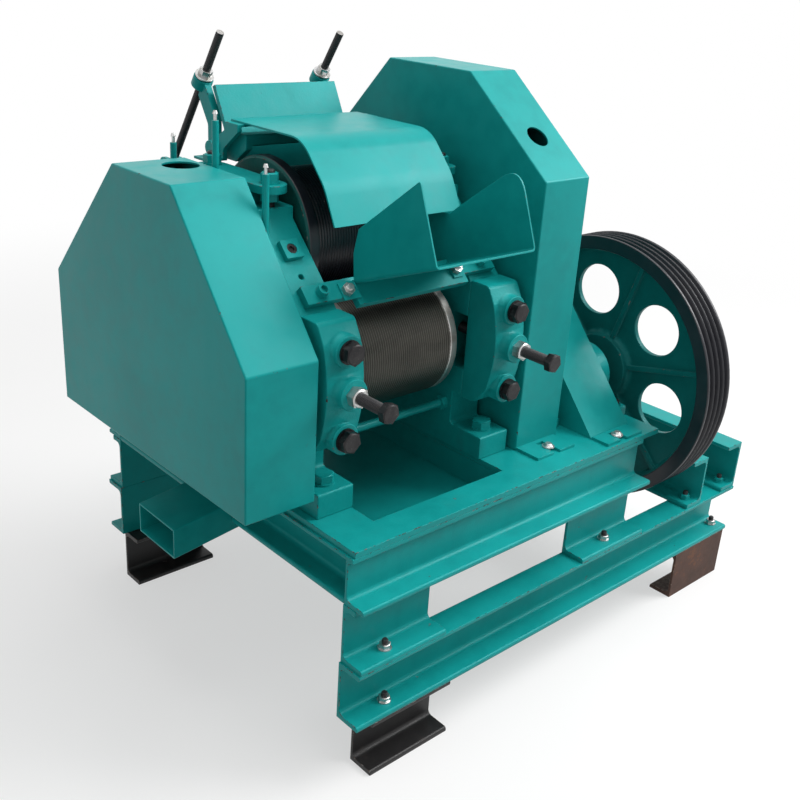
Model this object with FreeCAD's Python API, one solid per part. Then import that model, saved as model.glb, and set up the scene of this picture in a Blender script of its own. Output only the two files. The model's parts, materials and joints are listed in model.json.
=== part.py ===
import FreeCAD, Part
import math
import os

# Three-roller sugar cane crusher on a rolled-channel skid, driven through a grooved
# belt pulley and two spur-gear stages. Millimetres, +Z up.
#
# Working datum: x = 0 at the left edge of the top plate, y = 0 at its front edge and
# z = 0 on its top face. The written solids are moved so that the origin is the middle
# of the machine's footprint, on the floor. Outlines are (y, z) pairs unless said.

Vec = FreeCAD.Vector

# ---- driving dimensions: skid -------------------------------------------------------
PLATE_DEPTH = 687.0
PLATE_THICK = 10.0
SMALL_CHANNEL = (80.0, 43.0, 5.0, 8.0)      # depth, width, web, flange
LARGE_CHANNEL = (100.0, 48.0, 5.3, 8.5)
BEAM_START = -4.0             # left end of the upper beams
BEAM_SHORT = 44.0             # their right end, in from the plate's edge
BEAM_OVERHANG = 28.0          # flange tips in front of the plate edge
SKID_START = -8.0             # left end of the lower channels
SKID_BEYOND = 271.0           # their right end, past the plate's edge
SKID_OVERHANG = 32.0
LEFT_SPACER = (-5.0, 166.0)
RIGHT_SPACER_LENGTH = 175.0
RIGHT_SPACER_INSET = 5.0      # from the beams' right end
LEFT_FEET = ((24.0, 187.0), (1.5, 169.0))   # front, rear
LEFT_REAR_FOOT_INSET = 4.0
RIGHT_FOOT_LENGTH = 169.0
RIGHT_FOOT_INSET = 8.0        # from the lower channels' right end
RIGHT_FOOT_OVERHANG = 32.0
RAIL_PITCH = 122.0            # between the two motor rails
RAIL_FRONT_OVERHANG = 30.0
RAIL_REAR_OVERHANG = 28.0
SKID_BOLT_R = 5.0
SKID_BOLT_FLATS = 17.0
SKID_BOLT_HEAD = 7.0
SKID_BOLT_PROUD = 7.0         # of the bolt's end above its nut
SKID_NUT = 9.0
SKID_FLANGE_MID = 24.0        # bolt line, in from the flange tips
LEFT_SPACER_BOLT = 60.0
LEFT_FOOT_BOLT = 66.0
RIGHT_FOOT_BOLT_INSET = 22.0  # from the lower channels' right end

# ---- driving dimensions: rollers and housings ---------------------------------------
FRAME_WIDTH = 67.0
LEFT_FRAME_X = 13.0
FRAME_SPAN = 272.0            # between the two side frames
TOP_ROLLER = (355.0, 360.0)   # y, z of the top roller's axis
BARREL_R = 98.5
NIP = 3.0                     # gap between the top barrel and each lower barrel
LOWER_SPREAD = 109.0          # lower axes in front of and behind the top axis
FLANGE_R = 121.0
FLANGE_WIDTH = 20.0
FLANGE_GAP = 5.0              # between a frame and the flange beside it
BARREL_GAP = 1.5              # between a lower barrel's end and a flange
PLAIN_LAND = 15.0
JOURNAL_R = 30.0
BUSH_WALL = 8.0
TOP_BLOCK_WIDTH = 96.0
LOWER_BLOCK_SIZE = 92.0
CARRIAGE_TRAVEL = 4.0
RUN = 0.05                    # radial running clearance
SLIDE = 0.1                   # clearance on each side of a sliding block
FIT = 0.1                     # radial clearance of a bolt or stud in its own hole
OPEN_HOLE = 1.0               # radial clearance of a bolt in a drilled hole

# ---- driving dimensions: gearing ----------------------------------------------------
ROLLER_GEAR_TEETH = 20
ROLLER_GEAR_WIDTH = 60.0
ROLLER_GEAR_BACKLASH = 3.0
BULL_TEETH = 72
BULL_PINION_TEETH = 18
BULL_MODULE = 6.0
BULL_WIDTH = 60.0
FIRST_TEETH = 35
FIRST_PINION_TEETH = 15
FIRST_MODULE = 5.0
FIRST_WIDTH = 50.0
PRESSURE_ANGLE = math.radians(20.0)
BACKLASH = 1.0
COUNTER_R = 22.5              # radius of the pulley shaft and the intermediate shaft
PULLEY_SHAFT = (180.0, 57.0)  # y, z

# ---- driving dimensions: pulley -----------------------------------------------------
PULLEY_R = 256.0
PULLEY_WIDTH = 72.0
PULLEY_GAP = 20.0             # from the plate's edge to the rim
RIM_INNER_R = 225.0
GROOVES = 4
PULLEY_HOLES = 6
PULLEY_HOLE_R = 48.0
PULLEY_HOLE_PITCH_R = 149.0
PULLEY_HOLE_ANGLE = 76.7

# ---- driving dimensions: sheet work -------------------------------------------------
SHEET = 3.0
LEFT_COVER = (-120.0, -1.0)
COVER_GAP = 13.0              # from the right frame to the bull gear's cover
RIGHT_COVER_WIDTH = 108.0
STAND_GAP = 6.0               # from a cover to the stand beside it
PEDESTAL_WIDTH = 28.0
GUARD_WIDTH = 108.0
PILLOW_GAP = 2.0              # from the guard to the pillow block
PILLOW_WIDTH = 34.0
HOPPER_INSET = 37.0           # from each side frame
HOOD_INSETS = (8.0, 13.0)
OUTLET_TUBE_END = -108.0
OUTLET_TUBE = (305.0, 413.0)  # y, front and rear faces
OUTLET_TUBE_HEIGHT = 52.0
TRAY_SLOPE = math.tan(math.radians(8.0))

# ---- derived places -----------------------------------------------------------------
INNER_LEFT = LEFT_FRAME_X + FRAME_WIDTH
RIGHT_FRAME_X = INNER_LEFT + FRAME_SPAN
OUTER_RIGHT = RIGHT_FRAME_X + FRAME_WIDTH
RIGHT_COVER = (OUTER_RIGHT + COVER_GAP, OUTER_RIGHT + COVER_GAP + RIGHT_COVER_WIDTH)
PEDESTAL_X = (RIGHT_COVER[1] + STAND_GAP, RIGHT_COVER[1] + STAND_GAP + PEDESTAL_WIDTH)
GUARD = (PEDESTAL_X[1] + STAND_GAP, PEDESTAL_X[1] + STAND_GAP + GUARD_WIDTH)
PILLOW_X = (GUARD[1] + PILLOW_GAP, GUARD[1] + PILLOW_GAP + PILLOW_WIDTH)
PLATE_LENGTH = PILLOW_X[1]    # along the rollers
PULLEY_X = PLATE_LENGTH + PULLEY_GAP
HOPPER = (INNER_LEFT + HOPPER_INSET, RIGHT_FRAME_X - HOPPER_INSET)
HOOD = (INNER_LEFT + HOOD_INSETS[0], RIGHT_FRAME_X - HOOD_INSETS[1])
BEAM_END = PLATE_LENGTH - BEAM_SHORT
SPACER_END = BEAM_END - RIGHT_SPACER_INSET
SPACERS = (LEFT_SPACER, (SPACER_END - RIGHT_SPACER_LENGTH, SPACER_END))
SKID_END = PLATE_LENGTH + SKID_BEYOND
RAIL_BACKS = (SKID_END - RAIL_PITCH, SKID_END)
RIGHT_FOOT_END = SKID_END - RIGHT_FOOT_INSET
RIGHT_FOOT = (RIGHT_FOOT_END - RIGHT_FOOT_LENGTH, RIGHT_FOOT_END)
FOOT_BOLTS = (LEFT_FOOT_BOLT, SKID_END - RIGHT_FOOT_BOLT_INSET)
PLATE_MID_Y = PLATE_DEPTH / 2
BEAM_Z = -PLATE_THICK - SMALL_CHANNEL[0]
SPACER_Z = BEAM_Z - LARGE_CHANNEL[0]
SKID_Z = SPACER_Z - LARGE_CHANNEL[0]
FLOOR_Z = SKID_Z - LARGE_CHANNEL[0]
ROLLER_MID_Y = TOP_ROLLER[0]
CENTRE_DISTANCE = 2 * BARREL_R + NIP
LOWER_DROP = math.sqrt(CENTRE_DISTANCE ** 2 - LOWER_SPREAD ** 2)
FRONT_ROLLER = (TOP_ROLLER[0] - LOWER_SPREAD, TOP_ROLLER[1] - LOWER_DROP)
REAR_ROLLER = (TOP_ROLLER[0] + LOWER_SPREAD, TOP_ROLLER[1] - LOWER_DROP)
FRAMES_X = (LEFT_FRAME_X, RIGHT_FRAME_X)
FRAME_MIDS = (LEFT_FRAME_X + FRAME_WIDTH / 2, RIGHT_FRAME_X + FRAME_WIDTH / 2)
FLANGE_LEFT = INNER_LEFT + FLANGE_GAP
FLANGE_RIGHT = RIGHT_FRAME_X - FLANGE_GAP
TOP_BARREL = (FLANGE_LEFT + FLANGE_WIDTH, FLANGE_RIGHT - FLANGE_WIDTH)
LOWER_BARREL = (TOP_BARREL[0] + BARREL_GAP, TOP_BARREL[1] - BARREL_GAP)
BUSH_R = JOURNAL_R + BUSH_WALL


# ---- helpers ------------------------------------------------------------------------
def mirror_y(y):
    """The same place behind the top roller's axis."""
    return 2 * ROLLER_MID_Y - y


def place(axis, across, a, b):
    """3-D point of the 2-D point (a, b) drawn square to an axis."""
    if axis == "x":
        return Vec(across, a, b)
    if axis == "y":
        return Vec(a, across, b)
    return Vec(a, b, across)


def outline(axis, across, corners):
    """Closed wire through corners (a, b) or (a, b, radius)."""
    count = len(corners)
    ends = []
    for index, corner in enumerate(corners):
        here = Vec(corner[0], corner[1], 0)
        back = corners[index - 1]
        ahead = corners[(index + 1) % count]
        if len(corner) == 2:
            ends.append((here, None, here))
            continue
        to_back = (Vec(back[0], back[1], 0) - here).normalize()
        to_ahead = (Vec(ahead[0], ahead[1], 0) - here).normalize()
        half = to_back.getAngle(to_ahead) / 2
        reach = corner[2] / math.tan(half)
        bulge = corner[2] / math.sin(half) - corner[2]
        middle = here + (to_back + to_ahead).normalize() * bulge
        ends.append((here + to_back * reach, middle, here + to_ahead * reach))

    def point(flat):
        return place(axis, across, flat.x, flat.y)

    edges = []
    for index, (start, middle, end) in enumerate(ends):
        if middle is not None:
            edges.append(Part.Arc(point(start), point(middle), point(end)).toShape())
        following = ends[(index + 1) % count][0]
        if (following - end).Length > 1e-6:
            edges.append(Part.LineSegment(point(end), point(following)).toShape())
    return Part.Wire(edges)


def prism(axis, corners, low, high):
    """Solid with the outline's section, from low to high along an axis."""
    face = Part.Face(outline(axis, low, corners))
    return face.extrude(place(axis, high - low, 0, 0))


def block(x, y, z):
    """Box from three (low, high) pairs."""
    size = Vec(x[1] - x[0], y[1] - y[0], z[1] - z[0])
    return Part.makeBox(size.x, size.y, size.z, Vec(x[0], y[0], z[0]))


def rod(axis, centre, radius, low, high):
    """Round bar along an axis, centre given as the two other coordinates."""
    start = place(axis, low, centre[0], centre[1])
    return Part.makeCylinder(radius, high - low, start, place(axis, 1, 0, 0))


def ring(axis, centre, outer, inner, low, high):
    """Round sleeve along an axis."""
    return rod(axis, centre, outer, low, high).cut(rod(axis, centre, inner, low, high))


def turned(centre, steps):
    """Solid turned about an X axis from (x, radius) steps, closed on the axis."""
    profile = [(x, centre[1] + r) for x, r in steps]
    profile = [(steps[0][0], centre[1])] + profile + [(steps[-1][0], centre[1])]
    points = [Vec(x, centre[0], z) for x, z in profile]
    wire = Part.makePolygon(points + points[:1])
    axis_point = Vec(0, centre[0], centre[1])
    return Part.Face(wire).revolve(axis_point, Vec(1, 0, 0), 360)


def hexagon(seat, direction, across_flats, thick, hole=0.0):
    """Nut or bolt head: hexagonal prism on a seat point, along a direction."""
    corner_r = across_flats / math.sqrt(3)
    corners = [(corner_r * math.cos(math.radians(a)), corner_r * math.sin(math.radians(a)))
               for a in range(30, 390, 60)]
    body = prism("z", corners, 0, thick)
    if hole:
        body = body.cut(rod("z", (0, 0), hole, -1, thick + 1))
    body.Placement = FreeCAD.Placement(seat, FreeCAD.Rotation(Vec(0, 0, 1), direction))
    return body


def bolt(seat, direction, radius, length, across_flats, head, washer=0.0, nut_at=0.0,
         nut=0.0, proud=0.0):
    """Fastener as one solid: washer and head on the seat, shank and nut beyond it."""
    head_seat = seat + direction * washer
    shapes = [hexagon(head_seat, direction, across_flats, head),
              Part.makeCylinder(radius, length + washer + head + proud,
                                head_seat + direction * (head + proud), direction * -1)]
    if washer:
        shapes.append(Part.makeCylinder(across_flats * 0.6, washer, seat, direction))
    if nut:
        shapes.append(hexagon(seat - direction * (nut_at + nut), direction, across_flats,
                              nut))
    return joined(shapes)


def socket_screw(seat, direction, radius, length, head_r, head, key):
    """Cap screw with a hexagon socket."""
    shank = Part.makeCylinder(radius, length, seat, direction * -1)
    cap = Part.makeCylinder(head_r, head, seat, direction)
    socket = hexagon(seat + direction * (head / 2), direction, key, head)
    return shank.fuse(cap).cut(socket)


def joined(shapes):
    """One solid from touching or crossing shapes."""
    result = shapes[0]
    for shape in shapes[1:]:
        result = result.fuse(shape)
    return result.removeSplitter()


def without(shape, tools):
    """The shape with every tool cut away."""
    for tool in tools:
        shape = shape.cut(tool)
    return shape


def channel(axis, start, end, back, out, bottom, section):
    """Rolled channel laid along an axis: web face at back, flanges pointing out."""
    depth, width, web, flange = section
    tip = back + out * width
    inner = back + out * web
    top = bottom + depth
    root_r = flange
    toe_r = flange / 2
    corners = [(back, bottom), (tip, bottom), (tip, bottom + flange, toe_r),
               (inner, bottom + flange, root_r), (inner, top - flange, root_r),
               (tip, top - flange, toe_r), (tip, top), (back, top)]
    return prism(axis, corners, start, end)


# ---- gears --------------------------------------------------------------------------
def involute(angle):
    """Involute function of a pressure angle."""
    return math.tan(angle) - angle


def gear_outline(teeth, module, backlash, addendum, phase, centre, across):
    """Tooth outline with involute flanks, a tooth centred on the phase angle."""
    pitch_r = module * teeth / 2
    base_r = pitch_r * math.cos(PRESSURE_ANGLE)
    tip_r = pitch_r + addendum
    root_r = pitch_r - 1.25 * module
    half_at_pitch = math.pi / (2 * teeth) - backlash / (4 * pitch_r)
    flank_start = max(base_r, root_r)

    def half_angle(radius):
        pressure = math.acos(min(1.0, base_r / radius))
        return half_at_pitch + involute(PRESSURE_ANGLE) - involute(pressure)

    def point(radius, angle):
        return Vec(across, centre[0] + radius * math.cos(angle),
                   centre[1] + radius * math.sin(angle))

    edges = []
    step = 2 * math.pi / teeth
    flank = [flank_start, (flank_start + tip_r) / 2, tip_r]
    for tooth in range(teeth):
        middle = phase + tooth * step
        rising = [point(r, middle - half_angle(r)) for r in flank]
        falling = [point(r, middle + half_angle(r)) for r in reversed(flank)]
        foot = half_angle(flank_start)
        root_in = point(root_r, middle - foot)
        root_out = point(root_r, middle + foot)
        next_root = point(root_r, middle + step - foot)
        if flank_start > root_r:
            edges.append(Part.LineSegment(root_in, rising[0]).toShape())
        edges.append(Part.Arc(*rising).toShape())
        edges.append(Part.LineSegment(rising[2], falling[0]).toShape())
        edges.append(Part.Arc(*falling).toShape())
        if flank_start > root_r:
            edges.append(Part.LineSegment(falling[2], root_out).toShape())
        edges.append(Part.LineSegment(root_out, next_root).toShape())
    return Part.Wire(edges)


def gear(teeth, module, backlash, addendum, phase, centre, span, bore_r):
    """Spur gear blank from span[0] to span[1] with a plain bore."""
    wire = gear_outline(teeth, module, backlash, addendum, phase, centre, span[0])
    body = Part.Face(wire).extrude(Vec(span[1] - span[0], 0, 0))
    return body.cut(rod("x", centre, bore_r, span[0], span[1]))


def bearing_to(start, end):
    """Angle from +Y towards +Z of the line between two axes."""
    return math.atan2(end[1] - start[1], end[0] - start[0])


def mesh_phase(phase, teeth, mate_teeth, start, end):
    """Phase that puts the mate's tooth space on the first gear's tooth."""
    line = bearing_to(start, end)
    arc = (phase - line) * teeth / mate_teeth
    return line + math.pi - arc + math.pi / mate_teeth


def axis_at(first, first_distance, second, second_distance):
    """Axis at given distances from two others, on the rear side of their line."""
    span = math.dist(first, second)
    along = (first_distance ** 2 - second_distance ** 2 + span ** 2) / (2 * span)
    side = math.sqrt(first_distance ** 2 - along ** 2)
    unit = ((second[0] - first[0]) / span, (second[1] - first[1]) / span)
    return (first[0] + unit[0] * along + unit[1] * side,
            first[1] + unit[1] * along - unit[0] * side)


ROLLER_MODULE = CENTRE_DISTANCE / ROLLER_GEAR_TEETH
FIRST_CENTRES = FIRST_MODULE * (FIRST_TEETH + FIRST_PINION_TEETH) / 2
BULL_CENTRES = BULL_MODULE * (BULL_TEETH + BULL_PINION_TEETH) / 2
COUNTER_SHAFT = axis_at(PULLEY_SHAFT, FIRST_CENTRES, TOP_ROLLER, BULL_CENTRES)

ROLLER_ADDENDUM = 7.0
GEAR_SEAT_R = JOURNAL_R - 2.5
LEFT_GEAR_X = (LEFT_COVER[0] + 30.0, LEFT_COVER[0] + 30.0 + ROLLER_GEAR_WIDTH)
BULL_X = (OUTER_RIGHT + 26.0, OUTER_RIGHT + 26.0 + BULL_WIDTH)
BULL_PINION_X = (BULL_X[0] - 5.0, BULL_X[1] + 5.0)
FIRST_X = (GUARD[0] + 25.0, GUARD[0] + 25.0 + FIRST_WIDTH)
FIRST_PINION_X = (FIRST_X[0] - 3.0, FIRST_X[1] + 3.0)
TOP_PHASE = bearing_to(TOP_ROLLER, FRONT_ROLLER)
REST_SHIFT = (ROLLER_GEAR_BACKLASH / 2 - 0.3) / (CENTRE_DISTANCE / 2)


def roller_gears():
    """Three equal gears that turn the rollers together, at the left."""
    def one(centre, phase):
        return gear(ROLLER_GEAR_TEETH, ROLLER_MODULE, ROLLER_GEAR_BACKLASH,
                    ROLLER_ADDENDUM, phase, centre, LEFT_GEAR_X, GEAR_SEAT_R)

    top = one(TOP_ROLLER, TOP_PHASE)
    lower = []
    for centre, side in ((FRONT_ROLLER, -1), (REAR_ROLLER, 1)):
        phase = mesh_phase(TOP_PHASE, ROLLER_GEAR_TEETH, ROLLER_GEAR_TEETH,
                           TOP_ROLLER, centre)
        lower.append(one(centre, phase + side * REST_SHIFT))
    return top, lower[0], lower[1]


def bull_gear():
    """Large gear on the top roller: rim, thin web with round windows, and hub."""
    phase = mesh_phase(0, BULL_PINION_TEETH, BULL_TEETH, COUNTER_SHAFT, TOP_ROLLER)
    body = gear(BULL_TEETH, BULL_MODULE, BACKLASH, BULL_MODULE, phase, TOP_ROLLER,
                BULL_X, GEAR_SEAT_R)
    rim_r = BULL_MODULE * BULL_TEETH / 2 - 30.0
    hub_r = 58.0
    web_depth = 20.0
    sides = ((BULL_X[0], BULL_X[0] + web_depth), (BULL_X[1] - web_depth, BULL_X[1]))
    cuts = [ring("x", TOP_ROLLER, rim_r, hub_r, low, high) for low, high in sides]
    window_pitch_r = (rim_r + hub_r) / 2
    for index in range(6):
        angle = math.radians(60 * index)
        centre = (TOP_ROLLER[0] + window_pitch_r * math.cos(angle),
                  TOP_ROLLER[1] + window_pitch_r * math.sin(angle))
        cuts.append(rod("x", centre, 36.0, BULL_X[0], BULL_X[1]))
    return without(body, cuts)


def bull_pinion():
    """Pinion on the intermediate shaft that drives the bull gear."""
    return gear(BULL_PINION_TEETH, BULL_MODULE, BACKLASH, BULL_MODULE, 0,
                COUNTER_SHAFT, BULL_PINION_X, COUNTER_R)


def first_gear():
    """First-stage gear on the intermediate shaft, recessed on its outer face."""
    body = gear(FIRST_TEETH, FIRST_MODULE, BACKLASH, FIRST_MODULE, 0, COUNTER_SHAFT,
                FIRST_X, COUNTER_R)
    recess = ring("x", COUNTER_SHAFT, 68.0, 38.0, FIRST_X[1] - 15.0, FIRST_X[1])
    return body.cut(recess)


def drive_pinion():
    """Pinion on the pulley shaft that drives the first gear."""
    phase = mesh_phase(0, FIRST_TEETH, FIRST_PINION_TEETH, COUNTER_SHAFT, PULLEY_SHAFT)
    return gear(FIRST_PINION_TEETH, FIRST_MODULE, BACKLASH, FIRST_MODULE, phase,
                PULLEY_SHAFT, FIRST_PINION_X, COUNTER_R)


# ---- rollers and shafts -------------------------------------------------------------
SHAFT_LEFT = LEFT_GEAR_X[0] - 6.0
JOURNAL_CHAMFER = 2.0
SHOULDER_R = JOURNAL_R + 10.0


def top_roller():
    """Grooved barrel between two flanges, with journals and gear seats."""
    journal_left = LEFT_GEAR_X[1]
    journal_right = BULL_X[0]
    steps = [(SHAFT_LEFT, GEAR_SEAT_R), (journal_left, GEAR_SEAT_R),
             (journal_left, JOURNAL_R), (INNER_LEFT + 1, JOURNAL_R),
             (INNER_LEFT + 1, SHOULDER_R), (FLANGE_LEFT, SHOULDER_R),
             (FLANGE_LEFT, FLANGE_R - 4), (FLANGE_LEFT + 4, FLANGE_R),
             (TOP_BARREL[0], FLANGE_R), (TOP_BARREL[0], BARREL_R),
             (TOP_BARREL[1], BARREL_R), (TOP_BARREL[1], FLANGE_R),
             (FLANGE_RIGHT - 4, FLANGE_R), (FLANGE_RIGHT, FLANGE_R - 4),
             (FLANGE_RIGHT, SHOULDER_R), (RIGHT_FRAME_X - 1, SHOULDER_R),
             (RIGHT_FRAME_X - 1, JOURNAL_R), (journal_right, JOURNAL_R),
             (journal_right, GEAR_SEAT_R), (BULL_X[1] + 8, GEAR_SEAT_R)]
    return turned(TOP_ROLLER, steps)


def lower_roller(centre):
    """Barrel with a plain land at each end, journals and a left gear seat."""
    end = OUTER_RIGHT - 2.0
    edge = 3.0
    groove = 1.5
    steps = [(SHAFT_LEFT, GEAR_SEAT_R), (LEFT_GEAR_X[1], GEAR_SEAT_R),
             (LEFT_GEAR_X[1], JOURNAL_R), (INNER_LEFT + 1, JOURNAL_R),
             (INNER_LEFT + 1, SHOULDER_R), (LOWER_BARREL[0], SHOULDER_R),
             (LOWER_BARREL[0], BARREL_R - edge), (LOWER_BARREL[0] + edge, BARREL_R),
             (LOWER_BARREL[0] + PLAIN_LAND, BARREL_R),
             (LOWER_BARREL[0] + PLAIN_LAND + groove, BARREL_R - groove),
             (LOWER_BARREL[1] - PLAIN_LAND - groove, BARREL_R - groove),
             (LOWER_BARREL[1] - PLAIN_LAND, BARREL_R),
             (LOWER_BARREL[1] - edge, BARREL_R), (LOWER_BARREL[1], BARREL_R - edge),
             (LOWER_BARREL[1], SHOULDER_R), (RIGHT_FRAME_X - 1, SHOULDER_R),
             (RIGHT_FRAME_X - 1, JOURNAL_R), (end - JOURNAL_CHAMFER, JOURNAL_R),
             (end, JOURNAL_R - JOURNAL_CHAMFER)]
    return turned(centre, steps)


def intermediate_shaft():
    """Shaft cut in one piece with the pinion that drives the bull gear."""
    start = RIGHT_FRAME_X + 4.0
    end = FIRST_X[1] + 8.0
    steps = [(start, COUNTER_R), (end - JOURNAL_CHAMFER, COUNTER_R),
             (end, COUNTER_R - JOURNAL_CHAMFER)]
    return joined([turned(COUNTER_SHAFT, steps), bull_pinion()])


def pulley_shaft():
    """Shaft cut in one piece with the first pinion."""
    start = PEDESTAL_X[0] - 4.0
    end = PULLEY_X + PULLEY_WIDTH - 2.0
    steps = [(start, COUNTER_R), (end - JOURNAL_CHAMFER, COUNTER_R),
             (end, COUNTER_R - JOURNAL_CHAMFER)]
    return joined([turned(PULLEY_SHAFT, steps), drive_pinion()])


def belt_pulley():
    """Cast pulley: grooved rim, ribbed web with round windows, and hub."""
    left = PULLEY_X
    right = PULLEY_X + PULLEY_WIDTH
    middle = (left + right) / 2
    web = 12.0
    hub_r = 63.0
    hub = (left + 13.0, right - 13.0)
    land = 5.0
    groove_width = (PULLEY_WIDTH - 2 * land) / GROOVES
    groove_depth = 13.0
    steps = [(left, RIM_INNER_R + 6), (left, PULLEY_R)]
    for index in range(GROOVES):
        start = left + land + index * groove_width
        steps += [(start + 1.5, PULLEY_R), (start + 5.5, PULLEY_R - groove_depth),
                  (start + groove_width - 5.5, PULLEY_R - groove_depth),
                  (start + groove_width - 1.5, PULLEY_R)]
    steps += [(right, PULLEY_R), (right, RIM_INNER_R + 6),
              (middle + web / 2 + 4, RIM_INNER_R), (middle + web / 2, RIM_INNER_R - 6),
              (middle + web / 2, hub_r + 12), (middle + web / 2 + 8, hub_r + 2),
              (hub[1], hub_r), (hub[1], COUNTER_R), (hub[0], COUNTER_R),
              (hub[0], hub_r), (middle - web / 2 - 8, hub_r + 2),
              (middle - web / 2, hub_r + 12), (middle - web / 2, RIM_INNER_R - 6),
              (middle - web / 2 - 4, RIM_INNER_R)]
    points = [Vec(x, PULLEY_SHAFT[0], PULLEY_SHAFT[1] + r) for x, r in steps]
    face = Part.Face(Part.makePolygon(points + points[:1]))
    wheel = face.revolve(Vec(0, *PULLEY_SHAFT), Vec(1, 0, 0), 360)
    cuts = []
    ribs = []
    rib_thick = 10.0
    rib_width = 30.0
    for index in range(PULLEY_HOLES):
        angle = PULLEY_HOLE_ANGLE + index * 360 / PULLEY_HOLES
        spot = math.radians(angle)
        centre = (PULLEY_SHAFT[0] + PULLEY_HOLE_PITCH_R * math.cos(spot),
                  PULLEY_SHAFT[1] + PULLEY_HOLE_PITCH_R * math.sin(spot))
        cuts.append(rod("x", centre, PULLEY_HOLE_R, middle - web, middle + web))
        rib = block((middle - rib_width / 2, middle + rib_width / 2),
                    (hub_r - 4, RIM_INNER_R + 2), (-rib_thick / 2, rib_thick / 2))
        rib.rotate(Vec(middle, 0, 0), Vec(1, 0, 0), angle + 180 / PULLEY_HOLES)
        rib.translate(Vec(0, *PULLEY_SHAFT))
        ribs.append(rib)
    wheel = without(wheel, cuts)
    return joined([wheel] + ribs)


# ---- side frames, caps and bearing blocks -------------------------------------------
FOOT_FRONT_Y = 103.5
FOOT_HEIGHT = 40.0
POST_FRONT_Y = 177.0
CAP_SEAT_Y = 157.0
CAP_SEAT_Z = (99.0, 297.0)
SHOULDER_Y = 267.0
FRAME_TOP_Z = 425.0
KEEPER_Z = (446.0, 458.0)
KEEPER_Y = (228.0, 482.0)
STUD_Y = (280.0, 430.0)
STUD_R = 8.0
CAP_BOLT_Z = (128.0, 262.0)
CAP_BOLT_R = 10.0
ADJUST_Z = 202.0
ADJUST_R = 9.0
HOLD_DOWN_Y = 135.0
HOLD_DOWN_R = 10.0
TIE_ROD = (196.0, 74.0)
TIE_ROD_R = 7.0
TURNER_SPIGOT = (ROLLER_MID_Y, 118.0)
SPIGOT_R = 10.0
SPIGOT_LENGTH = 20.0
SLOPE_RISE = CAP_SEAT_Z[1] - CAP_SEAT_Y
CAP_Z = (97.0, 300.0)
CAP_BOSS_R = 24.0
CAP_BOSS_Y = 87.0
CAP_BOLT_GRIP = 115.0
ADJUST_BOSS_Y = 72.0
ADJUST_HEAD_Y = 6.0           # seat of the adjusting screw's head
ADJUST_FLATS = 27.0
LOCK_NUT = 15.0
WASHER = 3.0
STUD_FOOT_Z = 385.0


def frame_outline():
    """Half outline of a side frame from its foot to its top, then mirrored."""
    front = [(FOOT_FRONT_Y, 0), (FOOT_FRONT_Y, FOOT_HEIGHT, 4),
             (POST_FRONT_Y, FOOT_HEIGHT, 8), (POST_FRONT_Y, CAP_SEAT_Z[0]),
             (CAP_SEAT_Y, CAP_SEAT_Z[0]), (CAP_SEAT_Y, CAP_SEAT_Z[1]),
             (SHOULDER_Y, SHOULDER_Y + SLOPE_RISE), (SHOULDER_Y, FRAME_TOP_Z)]
    rear = [(mirror_y(corner[0]),) + corner[1:] for corner in reversed(front)]
    return front + rear


def side_frame(x):
    """Cast cheek: seats for the caps, slots for the bearing blocks, bolt holes."""
    low = x
    high = x + FRAME_WIDTH
    mid = (low + high) / 2
    body = prism("x", frame_outline(), low, high)
    half = LOWER_BLOCK_SIZE / 2 + SLIDE
    slot_end = FRONT_ROLLER[0] + half
    slot_z = (FRONT_ROLLER[1] - half, FRONT_ROLLER[1] + half)
    past = 1.0
    wide = (low - past, high + past)
    cuts = [block(wide, (CAP_SEAT_Y - past, slot_end), slot_z),
            block(wide, (mirror_y(slot_end), mirror_y(CAP_SEAT_Y) + past), slot_z)]
    top_half = TOP_BLOCK_WIDTH / 2 + SLIDE
    cuts.append(block(wide, (ROLLER_MID_Y - top_half, ROLLER_MID_Y + top_half),
                      (TOP_ROLLER[1] - TOP_BLOCK_WIDTH / 2, FRAME_TOP_Z + past)))
    for y in (TIE_ROD[0], mirror_y(TIE_ROD[0])):
        cuts.append(rod("x", (y, TIE_ROD[1]), TIE_ROD_R + OPEN_HOLE, *wide))
    for y in (HOLD_DOWN_Y, mirror_y(HOLD_DOWN_Y)):
        cuts.append(rod("z", (mid, y), HOLD_DOWN_R + OPEN_HOLE, -past,
                        FOOT_HEIGHT + past))
    cap_hole_depth = 48.0
    for z in CAP_BOLT_Z:
        cuts.append(rod("y", (mid, z), CAP_BOLT_R + FIT, CAP_SEAT_Y - past,
                        CAP_SEAT_Y + cap_hole_depth))
        cuts.append(rod("y", (mid, z), CAP_BOLT_R + FIT,
                        mirror_y(CAP_SEAT_Y + cap_hole_depth),
                        mirror_y(CAP_SEAT_Y) + past))
    for y in STUD_Y:
        cuts.append(rod("z", (mid, y), STUD_R + FIT, STUD_FOOT_Z, FRAME_TOP_Z + past))
    inner = high if x == LEFT_FRAME_X else low
    depth = SPIGOT_LENGTH + 2.0
    cuts.append(rod("x", TURNER_SPIGOT, SPIGOT_R + FIT, inner - depth, inner + depth))
    if x == RIGHT_FRAME_X:
        cuts.append(rod("x", COUNTER_SHAFT, COUNTER_R + BUSH_WALL, *wide))
    screw_x = SCREW_X[0] if x == LEFT_FRAME_X else SCREW_X[1]
    for hole_x, along, radius in ((screw_x, STRIP_MID, CROSS_SCREW_R),
                                  (mid, sum(PAD_ALONG) / 2, PAD_SCREW_R)):
        hole = slope_hole(hole_x, along, radius + FIT, CROSS_SCREW_LENGTH)
        cuts += [hole, flipped(hole)]
    cuts.append(slope_hole(mid, SPARE_HOLE_ALONG, SPARE_HOLE_R, CROSS_SCREW_LENGTH))
    return without(body, cuts)


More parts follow.
